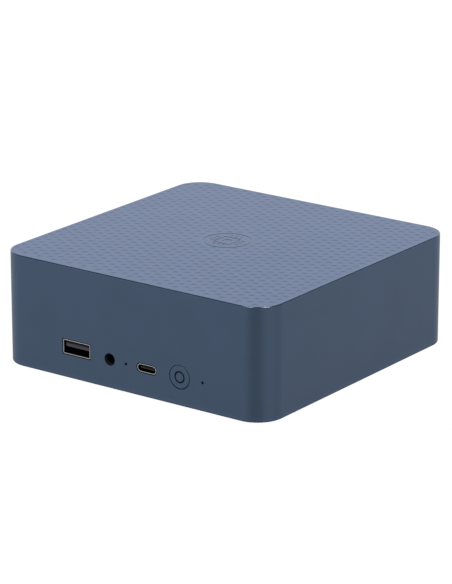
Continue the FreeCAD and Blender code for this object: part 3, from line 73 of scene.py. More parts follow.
class Finish:
    """A procedural material in the making: a Principled shader fed by patterns in millimetres."""

    def __init__(self, name):
        self.material = bpy.data.materials.new(name)
        self.material.use_nodes = True
        self.tree = self.material.node_tree
        self.shader = self.tree.nodes["Principled BSDF"]
        place = self.add("ShaderNodeVectorMath", operation="SCALE")
        coordinates = self.add("ShaderNodeTexCoord")
        self.link(coordinates.outputs["Object"], place.inputs[0])
        place.inputs["Scale"].default_value = 1.0 / MM
        self.place = place.outputs[0]

    def add(self, kind, **settings):
        node = self.tree.nodes.new(kind)
        for key, value in settings.items():
            setattr(node, key, value)
        return node

    def link(self, source, target):
        self.tree.links.new(source, target)

    def feed(self, socket, value):
        """Puts a number, a colour or another node's output into a socket."""
        if isinstance(value, bpy.types.NodeSocket):
            self.link(value, socket)
        elif isinstance(value, tuple) and len(value) == 3 and socket.type == "RGBA":
            socket.default_value = (*value, 1.0)
        else:
            socket.default_value = value

    def math(self, operation, a, b=0.0, clamp=False):
        node = self.add("ShaderNodeMath", operation=operation, use_clamp=clamp)
        self.feed(node.inputs[0], a)
        self.feed(node.inputs[1], b)
        return node.outputs[0]

    def axis(self, index):
        """One coordinate of the shaded point, in millimetres."""
        split = self.add("ShaderNodeSeparateXYZ")
        self.link(self.place, split.inputs[0])
        return split.outputs[index]

    def noise(self, grain, detail=3.0, stretch=(1, 1, 1)):
        """Noise whose lumps are about `grain` mm across, drawn out along each axis by `stretch`."""
        squeeze = self.add("ShaderNodeVectorMath", operation="MULTIPLY")
        self.link(self.place, squeeze.inputs[0])
        squeeze.inputs[1].default_value = tuple(1.0 / (grain * s) for s in stretch)
        node = self.add("ShaderNodeTexNoise")
        self.link(squeeze.outputs[0], node.inputs["Vector"])
        node.inputs["Scale"].default_value = 1.0
        node.inputs["Detail"].default_value = detail
        return node.outputs["Fac"]

    def cells(self, grain):
        """Distance from the nearest of a scatter of points that lie about `grain` mm apart."""
        node = self.add("ShaderNodeTexVoronoi")
        self.link(self.place, node.inputs["Vector"])
        node.inputs["Scale"].default_value = 1.0 / grain
        return node.outputs["Distance"]

    def span(self, value, low, high, to_low=0.0, to_high=1.0):
        """Maps low..high onto to_low..to_high and clamps."""
        node = self.add("ShaderNodeMapRange")
        self.feed(node.inputs["Value"], value)
        node.inputs["From Min"].default_value = low
        node.inputs["From Max"].default_value = high
        node.inputs["To Min"].default_value = to_low
        node.inputs["To Max"].default_value = to_high
        return node.outputs["Result"]

    def mix(self, share, a, b):
        node = self.add("ShaderNodeMix", data_type="RGBA")
        self.feed(node.inputs["Factor"], share)
        self.feed(node.inputs[6], a)
        self.feed(node.inputs[7], b)
        return node.outputs[2]

    def length(self, a, b):
        """Length of a step of a along one axis and b along another."""
        return self.math("SQRT", self.math("ADD", self.math("MULTIPLY", a, a), self.math("MULTIPLY", b, b)))

    def stripes(self, value, pitch, share):
        """1 on a share of every pitch along value."""
        turn = self.math("FRACT", self.math("DIVIDE", value, pitch))
        return self.math("LESS_THAN", turn, share)

    def bump(self, height, depth_mm):
        node = self.add("ShaderNodeBump")
        self.link(height, node.inputs["Height"])
        node.inputs["Strength"].default_value = 1.0
        node.inputs["Distance"].default_value = depth_mm * MM
        self.link(node.outputs["Normal"], self.shader.inputs["Normal"])

    def set(self, **inputs):
        names = {"color": "Base Color", "rough": "Roughness", "metal": "Metallic", "ior": "IOR",
                 "clear": "Transmission Weight", "coat": "Coat Weight", "coat_rough": "Coat Roughness",
                 "sheen": "Sheen Weight", "spec": "Specular IOR Level"}
        for key, value in inputs.items():
            self.feed(self.shader.inputs[names[key]], value)
        return self.material


def varied(finish, color, swing, grain, detail=3.0):
    """A colour that drifts by +-swing of itself over lumps of the given size."""
    dark = tuple(c * (1 - swing) for c in color)
    light = tuple(c * (1 + swing) for c in color)
    return finish.mix(finish.span(finish.noise(grain, detail), 0.3, 0.7), dark, light)


# ---------------------------------------------------------------- finishes

SHELL_BLUE = (0.079, 0.139, 0.243)
DIMPLE_BLUE = (0.054, 0.110, 0.228)
SHELL_METAL = 0.6
SHELL_ROUGH = 0.36
JACK_RIM_Y = -62.4             # from here to JACK_BORE_Y the audio socket's rim colour darkens into painted shade of its bore
JACK_BORE_Y = -61.9
LIP_SHEET = 0.3                # thickness of the sockets' steel shells
LIP_Y = 62.72                  # from the middle of the box: the sockets' lips lie beyond it
HALF_INSIDE = 61.4             # from the middle of the box to the inside of its walls
LIP_SILVER = (0.84, 0.88, 0.92)
# painted shade inside the front sockets' shells
LIP_SHADE = (0.10, 0.10, 0.11)
TONGUE_SHADOW_Z = 15.30            # height above which the front USB-A tongue is painted dark, as shadow under the shell's top lip
TURNING_PITCH = 0.12           # between the turned marks on the power button
BUTTON_SHADE_R = 4.5          # from the button's axis to its rim, painted near-black as shade of the gap around the button


def satin_metal(name, color, grain=0.09, metal=SHELL_METAL, rough=SHELL_ROUGH):
    """Bead-blasted, dyed aluminium: matt body colour with a fine metallic sparkle."""
    f = Finish(name)
    fine = f.noise(grain, 2.0)
    cloud = f.noise(14.0, 2.0)
    tint = f.mix(f.span(cloud, 0.3, 0.7), tuple(c * 0.975 for c in color), tuple(c * 1.025 for c in color))
    speck = f.mix(f.span(fine, 0.35, 0.65), (0.94, 0.94, 0.95), (1.06, 1.06, 1.05))
    blend = f.add("ShaderNodeMix", data_type="RGBA", blend_type="MULTIPLY")
    blend.inputs["Factor"].default_value = 1.0
    f.link(tint, blend.inputs[6])
    f.link(speck, blend.inputs[7])
    f.bump(fine, 0.004)
    return f.set(color=blend.outputs[2], metal=metal,
                 rough=f.span(fine, 0.3, 0.7, rough - 0.03, rough + 0.05))


def moulded(name, color, rough=0.55, grain=0.25, depth=0.01, swing=0.08, spec=0.5):
    """Moulded plastic with a spark-eroded grain."""
    f = Finish(name)
    fine = f.noise(grain, 3.0)
    f.bump(fine, depth)
    return f.set(color=varied(f, color, swing, 9.0), spec=spec,
                 rough=f.span(fine, 0.3, 0.7, rough - 0.06, rough + 0.06))


def rubber(name, color):
    f = Finish(name)
    fine = f.noise(0.12, 4.0)
    f.bump(fine, 0.012)
    return f.set(color=varied(f, color, 0.12, 3.0), rough=0.78, sheen=0.15)


def lipped_metal(name, lip, inside, mouth=None):
    """Plated sheet, bright on the lip of a socket's mouth and painted dark inside as shade.

    With an Outline of its mouth in X and Z, the flat lip gets a painted highlight: bright on its middle
    line and darker towards both its edges, as if rounded; the shell's outside stays plain behind the wall.
    """
    f = Finish(name)
    marks = f.noise(0.05, 3.0, (1, 8, 1))
    f.bump(marks, 0.0025)
    off_middle = f.math("ABSOLUTE", f.axis(1))
    bright = f.math("GREATER_THAN", off_middle, LIP_Y)
    if mouth:
        x, z, half_x, half_z, corner = mouth
        dx = f.math("SUBTRACT", f.math("ABSOLUTE", f.math("SUBTRACT", f.axis(0), x)), half_x - corner)
        dz = f.math("SUBTRACT", f.math("ABSOLUTE", f.math("SUBTRACT", f.axis(2), z)), half_z - corner)
        outside = f.length(f.math("MAXIMUM", dx, 0.0), f.math("MAXIMUM", dz, 0.0))
        inside_by = f.math("MINIMUM", f.math("MAXIMUM", dx, dz), 0.0)
        depth = f.math("SUBTRACT", corner, f.math("ADD", outside, inside_by))
        off_line = f.math("ABSOLUTE", f.math("SUBTRACT", depth, LIP_SHEET / 2))
        # painted highlight: a band along the middle of the flat lip, dark towards both its edges
        lip_highlight = f.span(off_line, LIP_SHEET * 0.14, LIP_SHEET * 0.46, 1.0, 0.0)
        outer_side = f.math("LESS_THAN", depth, LIP_SHEET * 0.5)
        behind_wall = f.math("LESS_THAN", off_middle, HALF_INSIDE)
        plain = f.math("MULTIPLY", outer_side, behind_wall)
        bright = f.math("MAXIMUM", f.math("MULTIPLY", bright, lip_highlight), plain)
    # the inside colour is painted shade; the lip colour is the plating
    return f.set(color=f.mix(bright, varied(f, inside, 0.10, 1.5), varied(f, lip, 0.04, 1.5)), metal=1.0,
                 rough=f.span(marks, 0.3, 0.7, 0.20, 0.32))


def mouth_of(node, height, corner):
    """Mouth of a socket's shell in X and Z; the shell's top is its node's, its legs reach further down."""
    low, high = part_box(node)
    low, high = low / MM, high / MM
    return Outline((low.x + high.x) / 2, high.z - height / 2, (high.x - low.x) / 2, height / 2, corner)


def jack_barrel(name, rim, bore):
    """Dull plastic, dyed at the rim of the socket, darkening to black down its bore as painted shade."""
    f = Finish(name)
    fine = f.noise(0.3, 3.0)
    f.bump(fine, 0.004)
    bore_shade = f.span(f.axis(1), JACK_RIM_Y, JACK_BORE_Y)
    return f.set(color=f.mix(bore_shade, varied(f, rim, 0.08, 4.0), bore), spec=0.08,
                 rough=f.span(fine, 0.3, 0.7, 0.64, 0.76))


def tongue_plastic(name, color, shade):
    """Moulded plastic, with painted shadow on the top part of the front tongue, under the shell's lip."""
    f = Finish(name)
    fine = f.noise(0.2, 3.0)
    f.bump(fine, 0.006)
    under_lip_shadow = f.span(f.axis(2), TONGUE_SHADOW_Z - 0.1, TONGUE_SHADOW_Z + 0.1)
    in_front = f.math("LESS_THAN", f.axis(1), 0.0)
    return f.set(color=f.mix(f.math("MULTIPLY", under_lip_shadow, in_front), varied(f, color, 0.08, 9.0), shade),
                 spec=0.3, rough=f.span(fine, 0.3, 0.7, 0.36, 0.48))


def capped_button(name, color, shade_r):
    """The housing's satin finish with turned marks, painted near-black beyond a radius from the button's
    axis as shade of the gap around it.
    """
    f = Finish(name)
    low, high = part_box("power_button")
    middle = (low + high) / 2 / MM
    across = f.math("SUBTRACT", f.axis(0), middle.x)
    up = f.math("SUBTRACT", f.axis(2), middle.z)
    reach = f.length(across, up)
    fine = f.noise(0.09, 2.0)
    turned = f.math("SINE", f.math("MULTIPLY", reach, 2 * math.pi / TURNING_PITCH))
    f.bump(f.math("ADD", fine, f.math("MULTIPLY", turned, 0.3)), 0.004)
    rim_shade = f.math("GREATER_THAN", reach, shade_r)
    # painted shade: near-black on the rim, standing for the dark gap around the button
    return f.set(color=f.mix(rim_shade, varied(f, color, 0.05, 0.09, 2.0), (0.004, 0.006, 0.010)),
                 metal=SHELL_METAL, rough=f.span(fine, 0.3, 0.7, SHELL_ROUGH - 0.03, SHELL_ROUGH + 0.05))


def bare_metal(name, color, rough=0.28, stretch=(1, 1, 1), grain=0.12, tarnish=0.06):
    """Rolled or turned metal with fine draw marks along the stretched axis."""
    f = Finish(name)
    marks = f.noise(grain, 3.0, stretch)
    f.bump(marks, 0.0025)
    return f.set(color=varied(f, color, tarnish, 2.5), metal=1.0,
                 rough=f.span(marks, 0.3, 0.7, rough - 0.06, rough + 0.08))


def circuit_board(name, mask, track):
    """Solder mask over copper: tracks as fine raised bands, plated holes as dots, weave underneath."""
    f = Finish(name)
    x, y = f.axis(0), f.axis(1)
    drift = f.span(f.noise(11.0, 1.0), 0.0, 1.0, -4.0, 4.0)
    along = f.stripes(f.math("ADD", x, drift), 1.3, 0.35)
    across = f.stripes(f.math("ADD", y, drift), 1.7, 0.3)
    patch = f.span(f.noise(8.0, 0.0), 0.48, 0.52)
    tracks = f.math("ADD", f.math("MULTIPLY", along, patch),
                    f.math("MULTIPLY", across, f.math("SUBTRACT", 1.0, patch)), clamp=True)
    dots = f.math("LESS_THAN", f.cells(2.6), 0.11)
    weave = f.noise(0.5, 1.0, (3, 0.6, 1))
    ground = f.mix(f.span(weave, 0.3, 0.7), tuple(c * 0.85 for c in mask), mask)
    with_tracks = f.mix(f.math("MULTIPLY", tracks, 0.8), ground, track)
    face = f.mix(dots, with_tracks, (0.55, 0.47, 0.30))
    f.bump(f.math("ADD", tracks, dots), 0.012)
    return f.set(color=face, rough=f.span(weave, 0.3, 0.7, 0.32, 0.42), coat=0.3, coat_rough=0.2)


def chip_epoxy(name):
    """Moulded epoxy: matt, with a faint sparkle of filler."""
    f = Finish(name)
    fine = f.noise(0.10, 3.0)
    f.bump(fine, 0.006)
    color = f.mix(f.span(fine, 0.55, 0.75), (0.028, 0.028, 0.031), (0.075, 0.075, 0.08))
    return f.set(color=color, rough=0.52)


def sleeved_can(name, sleeve, stripe):
    """Capacitor: shrunk sleeve with a pale polarity stripe, bare aluminium where a face looks up."""
    f = Finish(name)
    geometry = f.add("ShaderNodeNewGeometry")
    split = f.add("ShaderNodeSeparateXYZ")
    f.link(geometry.outputs["True Normal"], split.inputs[0])
    faces_up = f.math("GREATER_THAN", split.outputs[2], 0.7)
    faces_front = f.math("LESS_THAN", split.outputs[1], -0.88)
    marks = f.noise(0.2, 2.0, (1, 1, 8))
    wrap = f.mix(faces_front, varied(f, sleeve, 0.08, 2.0), stripe)
    f.bump(marks, 0.003)
    return f.set(color=f.mix(faces_up, wrap, (0.62, 0.63, 0.65)), metal=faces_up,
                 rough=f.span(marks, 0.3, 0.7, 0.26, 0.36))


def smoked(name, color, clear=0.75, rough=0.22):
    """Moulded clear plastic with a light frost."""
    f = Finish(name)
    frost = f.noise(0.4, 3.0)
    f.bump(frost, 0.004)
    return f.set(color=varied(f, color, 0.05, 2.0), clear=clear, ior=1.49,
                 rough=f.span(frost, 0.3, 0.7, rough - 0.08, rough + 0.10))


def wound_wire(name, color, pitch):
    """Enamelled wire laid side by side, with its turns raised and painted shade between them."""
    f = Finish(name)
    wave = f.math("SINE", f.math("MULTIPLY", f.axis(2), 2 * math.pi / pitch))
    f.bump(wave, 0.08)
    # painted shade: darker in the grooves between the turns
    shade = f.mix(f.span(wave, -1, 1), tuple(c * 0.55 for c in color), color)
    return f.set(color=shade, metal=0.75, rough=f.span(f.noise(0.4), 0.3, 0.7, 0.28, 0.42))


USB_A_MOUTH = mouth_of("front_usb_a_shell", height=5.75, corner=0.5)
USB_C_MOUTH = mouth_of("front_usb_c_shell", height=3.2, corner=1.6)
FINISHES = {
    "shell": satin_metal("shell_satin", SHELL_BLUE),
    "dimple": satin_metal("dimple_satin", DIMPLE_BLUE),
    # near-black primer inside the housing, also painted shade in the walls of the ports' cut-outs
    "shell_inside": moulded("shell_primer_and_shade", (0.006, 0.009, 0.015), 0.7, 0.2, 0.004, spec=0.2),
    "shell_edge": satin_metal("edge_polished", (0.074, 0.128, 0.220), metal=1.0, rough=0.20),
    "button_metal": capped_button("button_satin_rim_shade", SHELL_BLUE, BUTTON_SHADE_R),
    "cover": moulded("cover_grained", (0.040, 0.048, 0.060), 0.6, 0.35, 0.02),
    "panel": moulded("panel_grained", (0.020, 0.022, 0.026), 0.5, 0.30, 0.015),
    "foot_rubber": rubber("foot_rubber_matt", (0.028, 0.028, 0.030)),
    "screw_black": bare_metal("screw_blackened", (0.06, 0.06, 0.065), 0.38),
    "screw_steel": bare_metal("screw_zinc", (0.62, 0.63, 0.64), 0.3),
    "mesh": moulded("screen_thread", (0.016, 0.016, 0.018), 0.65, 0.1, 0.006),
    "light_guide": moulded("ring_smoked", (0.003, 0.007, 0.017), 0.55, 0.3, 0.004, spec=0.08),
    "clear_plastic": smoked("guide_clear", (0.80, 0.85, 0.88), 0.85),
    "bracket_plastic": moulded("bracket_moulded", (0.035, 0.035, 0.038)),
    "switch_plastic": moulded("switch_moulded", (0.022, 0.022, 0.024), 0.5),
    "plunger_plastic": moulded("plunger_moulded", (0.60, 0.585, 0.53), 0.45),
    # the second colour is painted shade deeper inside the sockets' shells
    "socket_steel": lipped_metal("socket_tinned_shaded_inside", LIP_SILVER, (0.30, 0.30, 0.31)),
    "usb_a_lip": lipped_metal("usb_a_plated_painted_light", LIP_SILVER, LIP_SHADE, USB_A_MOUTH),
    "usb_c_lip": lipped_metal("usb_c_plated_painted_light", (0.80, 0.83, 0.87), LIP_SHADE, USB_C_MOUTH),
    # the second colour is painted shade in the socket's bore
    "jack_plastic": jack_barrel("jack_moulded_shaded_bore", (0.010, 0.018, 0.036), (0.002, 0.002, 0.003)),
    # the second colour is painted shadow on the front tongue's top part
    "insert_plastic": tongue_plastic("insert_grey_violet_shadowed", (0.070, 0.083, 0.122), (0.006, 0.007, 0.011)),
    "insert_black": moulded("insert_black", (0.012, 0.012, 0.013), 0.45, 0.2, 0.006),
    "contact_gold": bare_metal("contact_gilt", (0.86, 0.62, 0.28), 0.22, (1, 6, 1), 0.05),
    "inlet_plastic": moulded("inlet_moulded", (0.013, 0.013, 0.015), 0.42, 0.3, 0.012),
    "board": circuit_board("board_mask", (0.006, 0.030, 0.020), (0.012, 0.060, 0.036)),
    "board_black": circuit_board("board_dark_mask", (0.008, 0.010, 0.012), (0.024, 0.026, 0.028)),
    "carrier": circuit_board("carrier_mask", (0.012, 0.055, 0.028), (0.028, 0.095, 0.050)),
    "die": bare_metal("die_polished", (0.32, 0.34, 0.38), 0.10, tarnish=0.10),
    "chip": chip_epoxy("chip_epoxy"),
    "choke": moulded("choke_pressed", (0.085, 0.085, 0.090), 0.62, 0.18, 0.03, 0.15),
    "can": sleeved_can("can_sleeve_black", (0.020, 0.021, 0.026), (0.45, 0.46, 0.47)),
    "film": moulded("film_box", (0.62, 0.44, 0.06), 0.35, 0.3, 0.01),
    "header_plastic": moulded("header_ivory", (0.66, 0.63, 0.54), 0.42),
    "socket_black": moulded("socket_moulded", (0.020, 0.020, 0.022), 0.4, 0.2, 0.008),
    "latch_steel": bare_metal("spring_steel", (0.66, 0.66, 0.67), 0.3, (1, 10, 1)),
    "brass": bare_metal("brass_turned", (0.78, 0.58, 0.27), 0.24, (1, 1, 0.2)),
    "pad": rubber("pad_silicone", (0.25, 0.33, 0.40)),
    "alu": bare_metal("aluminium_rolled", (0.74, 0.75, 0.76), 0.32, (1, 12, 1)),
    "copper": bare_metal("copper_drawn", (0.83, 0.44, 0.29), 0.26, (6, 6, 1), tarnish=0.14),
    "fan_plastic": moulded("fan_moulded", (0.018, 0.018, 0.020), 0.42, 0.3, 0.01),
    "magnet": moulded("magnet_bonded", (0.050, 0.049, 0.048), 0.5, 0.15, 0.02),
    "stator": bare_metal("core_laminated", (0.40, 0.40, 0.41), 0.4, (8, 8, 1), 0.25),
    "winding": wound_wire("winding_enamelled", (0.80, 0.36, 0.16), 0.35),
    "tray": moulded("tray_sheet", (0.025, 0.025, 0.027), 0.35, 0.6, 0.004),
    "battery": bare_metal("cell_plated", (0.70, 0.70, 0.69), 0.22),
    "ferrite": moulded("ferrite_pressed", (0.045, 0.045, 0.048), 0.5, 0.15, 0.02),
    "wire": moulded("wire_red", (0.42, 0.022, 0.016), 0.38, 0.4, 0.006),
    "wire_black": moulded("wire_black", (0.016, 0.016, 0.018), 0.38, 0.4, 0.006),
    "wire_brown": moulded("wire_brown", (0.150, 0.060, 0.028), 0.38, 0.4, 0.006),
    "wire_yellow": moulded("wire_yellow", (0.62, 0.45, 0.03), 0.38, 0.4, 0.006),
    "wire_blue": moulded("wire_blue", (0.020, 0.065, 0.30), 0.38, 0.4, 0.006),
    "foil": bare_metal("aerial_foil", (0.72, 0.52, 0.30), 0.3),
    "lamp_green": smoked("lamp_green", (0.10, 0.62, 0.20), 0.6, 0.2),
    "lamp_amber": smoked("lamp_amber", (0.85, 0.45, 0.06), 0.6, 0.2),
}

slot_of = {row["node"]: row["material_slot"] for row in frame["record"]["subparts"]}
finish_of = dict(slot_of, front_usb_a_shell="usb_a_lip", front_usb_c_shell="usb_c_lip")
for name, node in nodes.items():
    node.data.materials.clear()
    node.data.materials.append(FINISHES[finish_of[name]])


# ---------------------------------------------------------------- new pieces

def new_piece(name, mesh, replaced):
    """Puts a mesh on the body named computer, in place of a CAD node."""
    piece = bpy.data.objects.new(name, mesh)
    bpy.context.scene.collection.objects.link(piece)
    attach(piece, "computer")
    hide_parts(replaced)


# ---------------------------------------------------------------- dimpled roof with its emblem

TOP = cad_box[1][2] / MM                     # height of the top face
shell_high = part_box("top_shell")[1]
HALF = shell_high.x / MM
CORNER_R = 11.0
TOP_ROUND = 0.4                              # radius of the rounded top edge
SKIN_DEPTH = 0.45                            # faces further in than this are the housing's inside
DIMPLE_R = 1.35
DIMPLE_DEPTH = 0.07
ROW_STEP = 4.19                              # between dimples along Y
COLUMN_STEP = 3.629                          # between columns along X, each shifted by half a row
FIRST_DIMPLE = (1.451, 1.257)
DIMPLE_SIDES = 14
DIMPLE_RINGS = 4
EDGE_CLEAR = 0.12                            # from a dimple's rim to the rounded top edge
EMBLEM_DEPTH = 0.14
EMBLEM_SLOPE = 0.30                          # width of the sloping sides of the emblem's grooves
EMBLEM_CLEAR = 11.2                          # no dimples inside this distance from the emblem's centre
EMBLEM_PINS = (-2.2, 0.0, 2.2)               # places of the chip's legs along each of its sides
PIN_REACH = 5.9                              # from the emblem's centre to the middle of a leg
LEVEL_ERROR = 1e-6                           # metres; a face this close to the top is the flat top
MERGE_REACH = 1e-8                           # metres; corners closer than this are one
SKIN = Outline(0.0, 0.0, HALF, HALF, CORNER_R)
FLAT_TOP = Outline(0.0, 0.0, HALF - TOP_ROUND, HALF - TOP_ROUND, CORNER_R - TOP_ROUND)
SKIN_SLOT, DIMPLE_SLOT, INSIDE_SLOT, EDGE_SLOT = range(4)


def rounded_distance(p, shape):
    """Signed distance from a point to a rounded rectangle, negative inside."""
    dx = abs(p[0] - shape.x) - shape.half_x + shape.corner
    dy = abs(p[1] - shape.y) - shape.half_y + shape.corner
    return math.hypot(max(dx, 0), max(dy, 0)) + min(max(dx, dy), 0) - shape.corner


def rounded_loop(shape, grow=0.0, step_length=0.45):
    """Points around a rounded rectangle, grown outward by `grow`; as many for every `grow`."""
    r = max(shape.corner + grow, 0.02)
    hx, hy = shape.half_x + grow - r, shape.half_y + grow - r
    steps = max(4, round(math.pi / 2 * shape.corner / step_length))
    loop = []
    for quarter, (sx, sy) in enumerate(((1, 1), (-1, 1), (-1, -1), (1, -1))):
        for step in range(steps + 1):
            turn = math.pi / 2 * (quarter + step / steps)
            loop.append((shape.x + sx * hx + r * math.cos(turn), shape.y + sy * hy + r * math.sin(turn)))
    return loop


def emblem_grooves():
    """A generic chip in a ring: each groove is a rounded rectangle, or the band between two of them."""
    def square(half, corner):
        return Outline(0.0, 0.0, half, half, corner)
    grooves = [(square(9.8, 9.798), square(8.95, 8.948)),
               (square(4.3, 1.2), square(3.6, 0.7)),
               (square(1.7, 0.5), None)]
    for along in EMBLEM_PINS:
        for side in (-1, 1):
            grooves.append((Outline(along, side * PIN_REACH, 0.36, 1.0, 0.35), None))
            grooves.append((Outline(side * PIN_REACH, along, 1.0, 0.36, 0.35), None))
    return grooves


GROOVES = emblem_grooves()


def groove_depth(p):
    """Depth of the emblem's surface below the roof at a point: flat floor, sloping sides."""
    deepest = 0.0
    for outer, inner in GROOVES:
        inside = -rounded_distance(p, outer)
        if inner:
            inside = min(inside, rounded_distance(p, inner))
        deepest = max(deepest, min(max(inside / EMBLEM_SLOPE, 0.0), 1.0))
    return EMBLEM_DEPTH * deepest


def dimple_at(column, row):
    """Centre of a dimple; every other column is shifted by half a row."""
    return (FIRST_DIMPLE[0] + column * COLUMN_STEP, FIRST_DIMPLE[1] + (row + (column % 2) / 2) * ROW_STEP)


def nearest_dimple(x, y):
    column = round((x - FIRST_DIMPLE[0]) / COLUMN_STEP)
    row = round((y - FIRST_DIMPLE[1]) / ROW_STEP - (column % 2) / 2)
    return dimple_at(column, row)


def dimple_centres():
    reach = math.ceil(HALF / COLUMN_STEP)
    centres = []
    for column in range(-reach, reach):
        for row in range(-reach, reach):
            x, y = dimple_at(column, row)
            in_reach = rounded_distance((x, y), FLAT_TOP) < -(DIMPLE_R + EDGE_CLEAR)
            if in_reach and math.hypot(x, y) > EMBLEM_CLEAR:
                centres.append((x, y))
    return centres


def cad_faces_and_normals(mesh, keep):
    """Triangles of a CAD mesh that pass `keep`, with the exact normal of every corner."""
    corner_normals = [tuple(n.vector) for n in mesh.corner_normals]
    faces, normals = [], []
    for polygon in mesh.polygons:
        if keep(polygon):
            faces.append(tuple(polygon.vertices))
            normals.append([corner_normals[i] for i in polygon.loop_indices])
    return faces, normals


def skin_slot(corners):
    """Which finish a face of the housing takes: outer skin, polished top edge, or the near-black inside,
    which is primer and painted shade in the cut-outs' walls.
    """
    middle = sum(corners, Vector()) / len(corners) / MM
    if middle.z > TOP - TOP_ROUND:
        return EDGE_SLOT
    return INSIDE_SLOT if rounded_distance(middle, SKIN) < -SKIN_DEPTH else SKIN_SLOT


def dimpled_roof():
    """The CAD housing, with its flat top cut anew around the dimples and the emblem's grooves."""
    cad = nodes["top_shell"].data
    top = cad_box[1][2]

    def is_flat_top(polygon):
        return all(cad.vertices[i].co.z > top - LEVEL_ERROR for i in polygon.vertices)

    def level_place(i):
        return round(cad.vertices[i].co.x, 7), round(cad.vertices[i].co.y, 7)

    points = [tuple(v.co) for v in cad.vertices]
    faces, normals = cad_faces_and_normals(cad, lambda polygon: not is_flat_top(polygon))
    slots = [skin_slot([cad.vertices[i].co for i in face]) for face in faces]

    border = {level_place(i) for polygon in cad.polygons if is_flat_top(polygon) for i in polygon.vertices}
    border = sorted(border, key=lambda p: math.atan2(p[1], p[0]))

    flat, edges = [Vector(p) for p in border], []

    def add_loop(loop):
        start = len(flat)
        flat.extend(Vector((x * MM, y * MM)) for x, y in loop)
        edges.extend((start + i, start + (i + 1) % len(loop)) for i in range(len(loop)))

    edges.extend((i, (i + 1) % len(border)) for i in range(len(border)))
    centres = dimple_centres()
    circle = [(math.cos(2 * math.pi * k / DIMPLE_SIDES), math.sin(2 * math.pi * k / DIMPLE_SIDES))
              for k in range(DIMPLE_SIDES)]
    for cx, cy in centres:
        add_loop([(cx + DIMPLE_R * c, cy + DIMPLE_R * s) for c, s in circle])
    for outer, inner in GROOVES:
        add_loop(rounded_loop(outer))
        add_loop(rounded_loop(outer, -EMBLEM_SLOPE))
        if inner:
            add_loop(rounded_loop(inner))
            add_loop(rounded_loop(inner, EMBLEM_SLOPE))

    found_points, _, found_faces, *_ = delaunay_2d_cdt(flat, edges, [], 0, MERGE_REACH)
    depths = [groove_depth((p.x / MM, p.y / MM)) if max(abs(p.x), abs(p.y)) < EMBLEM_CLEAR * MM else 0.0
              for p in found_points]
    first = len(points)
    points.extend((p.x, p.y, top - depth * MM) for p, depth in zip(found_points, depths))

    dimpled = set(centres)
    for face in found_faces:
        middle = sum((found_points[i] for i in face), Vector((0, 0))) / len(face) / MM
        near = nearest_dimple(*middle)
        in_dimple = near in dimpled and math.dist(near, middle) < DIMPLE_R * 0.985
        if in_dimple or rounded_distance(middle, FLAT_TOP) > 0.0:
            continue
        faces.append(tuple(first + i for i in face))
        slots.append(SKIN_SLOT)
        a, b, c = (Vector(points[first + i]) for i in face[:3])
        flat_normal = tuple((b - a).cross(c - a).normalized())
        level = all(depths[i] == 0 for i in face) or all(depths[i] > EMBLEM_DEPTH * 0.99 for i in face)
        normals.append([(0.0, 0.0, 1.0) if level else flat_normal] * len(face))

    for cx, cy in centres:
        add_bowl(points, faces, normals, slots, cx, cy, circle)

    mesh = bpy.data.meshes.new("top_shell_dimpled")
    mesh.from_pydata(points, [], faces)
    mesh.polygons.foreach_set("material_index", slots)
    mesh.polygons.foreach_set("use_smooth", [True] * len(faces))
    mesh.normals_split_custom_set([n for corners in normals for n in corners])
    for finish in ("shell", "dimple", "shell_inside", "shell_edge"):
        mesh.materials.append(FINISHES[finish])
    new_piece("top_shell_dimpled", mesh, "top_shell")


def add_bowl(points, faces, normals, slots, cx, cy, circle):
    """A shallow bowl: level at its rim and at its middle, so light runs smoothly across it."""
    def profile(r):
        share = r / DIMPLE_R
        depth = DIMPLE_DEPTH * (1 - share * share) ** 2
        slope = 4 * DIMPLE_DEPTH * share * (1 - share * share) / DIMPLE_R
        return depth, slope

    rings, ring_normals = [], []
    for ring in range(DIMPLE_RINGS):
        r = DIMPLE_R * (1 - ring / DIMPLE_RINGS)
        depth, slope = profile(r)
        rings.append(list(range(len(points), len(points) + len(circle))))
        points.extend(((cx + r * c) * MM, (cy + r * s) * MM, (TOP - depth) * MM) for c, s in circle)
        ring_normals.append([tuple(Vector((-slope * c, -slope * s, 1)).normalized()) for c, s in circle])
    middle = len(points)
    points.append((cx * MM, cy * MM, (TOP - DIMPLE_DEPTH) * MM))
    count = len(circle)
    for ring in range(DIMPLE_RINGS - 1):
        for k in range(count):
            n = (k + 1) % count
            faces.append((rings[ring][k], rings[ring][n], rings[ring + 1][n], rings[ring + 1][k]))
            normals.append([ring_normals[ring][k], ring_normals[ring][n],
                            ring_normals[ring + 1][n], ring_normals[ring + 1][k]])
            slots.append(DIMPLE_SLOT)
    for k in range(count):
        n = (k + 1) % count
        faces.append((rings[-1][k], rings[-1][n], middle))
        normals.append([ring_normals[-1][k], ring_normals[-1][n], (0.0, 0.0, 1.0)])
        slots.append(DIMPLE_SLOT)


dimpled_roof()


# ---------------------------------------------------------------- pieces of mixed material, split apart

def touching_parts(mesh):
    """Lists of the polygons that hang together, by places shared to a thousandth of a millimetre."""
    place_of, places = [], {}
    for vertex in mesh.vertices:
        key = tuple(round(c / MM * 1000) for c in vertex.co)
        place_of.append(places.setdefault(key, len(places)))
    parent = list(range(len(places)))

    def root(place):
        while parent[place] != place:
            parent[place] = parent[parent[place]]
            place = parent[place]
        return place

    for polygon in mesh.polygons:
        first = root(place_of[polygon.vertices[0]])
        for i in polygon.vertices:
            parent[root(place_of[i])] = first
    parts = {}
    for polygon in mesh.polygons:
        parts.setdefault(root(place_of[polygon.vertices[0]]), []).append(polygon)
    return list(parts.values())


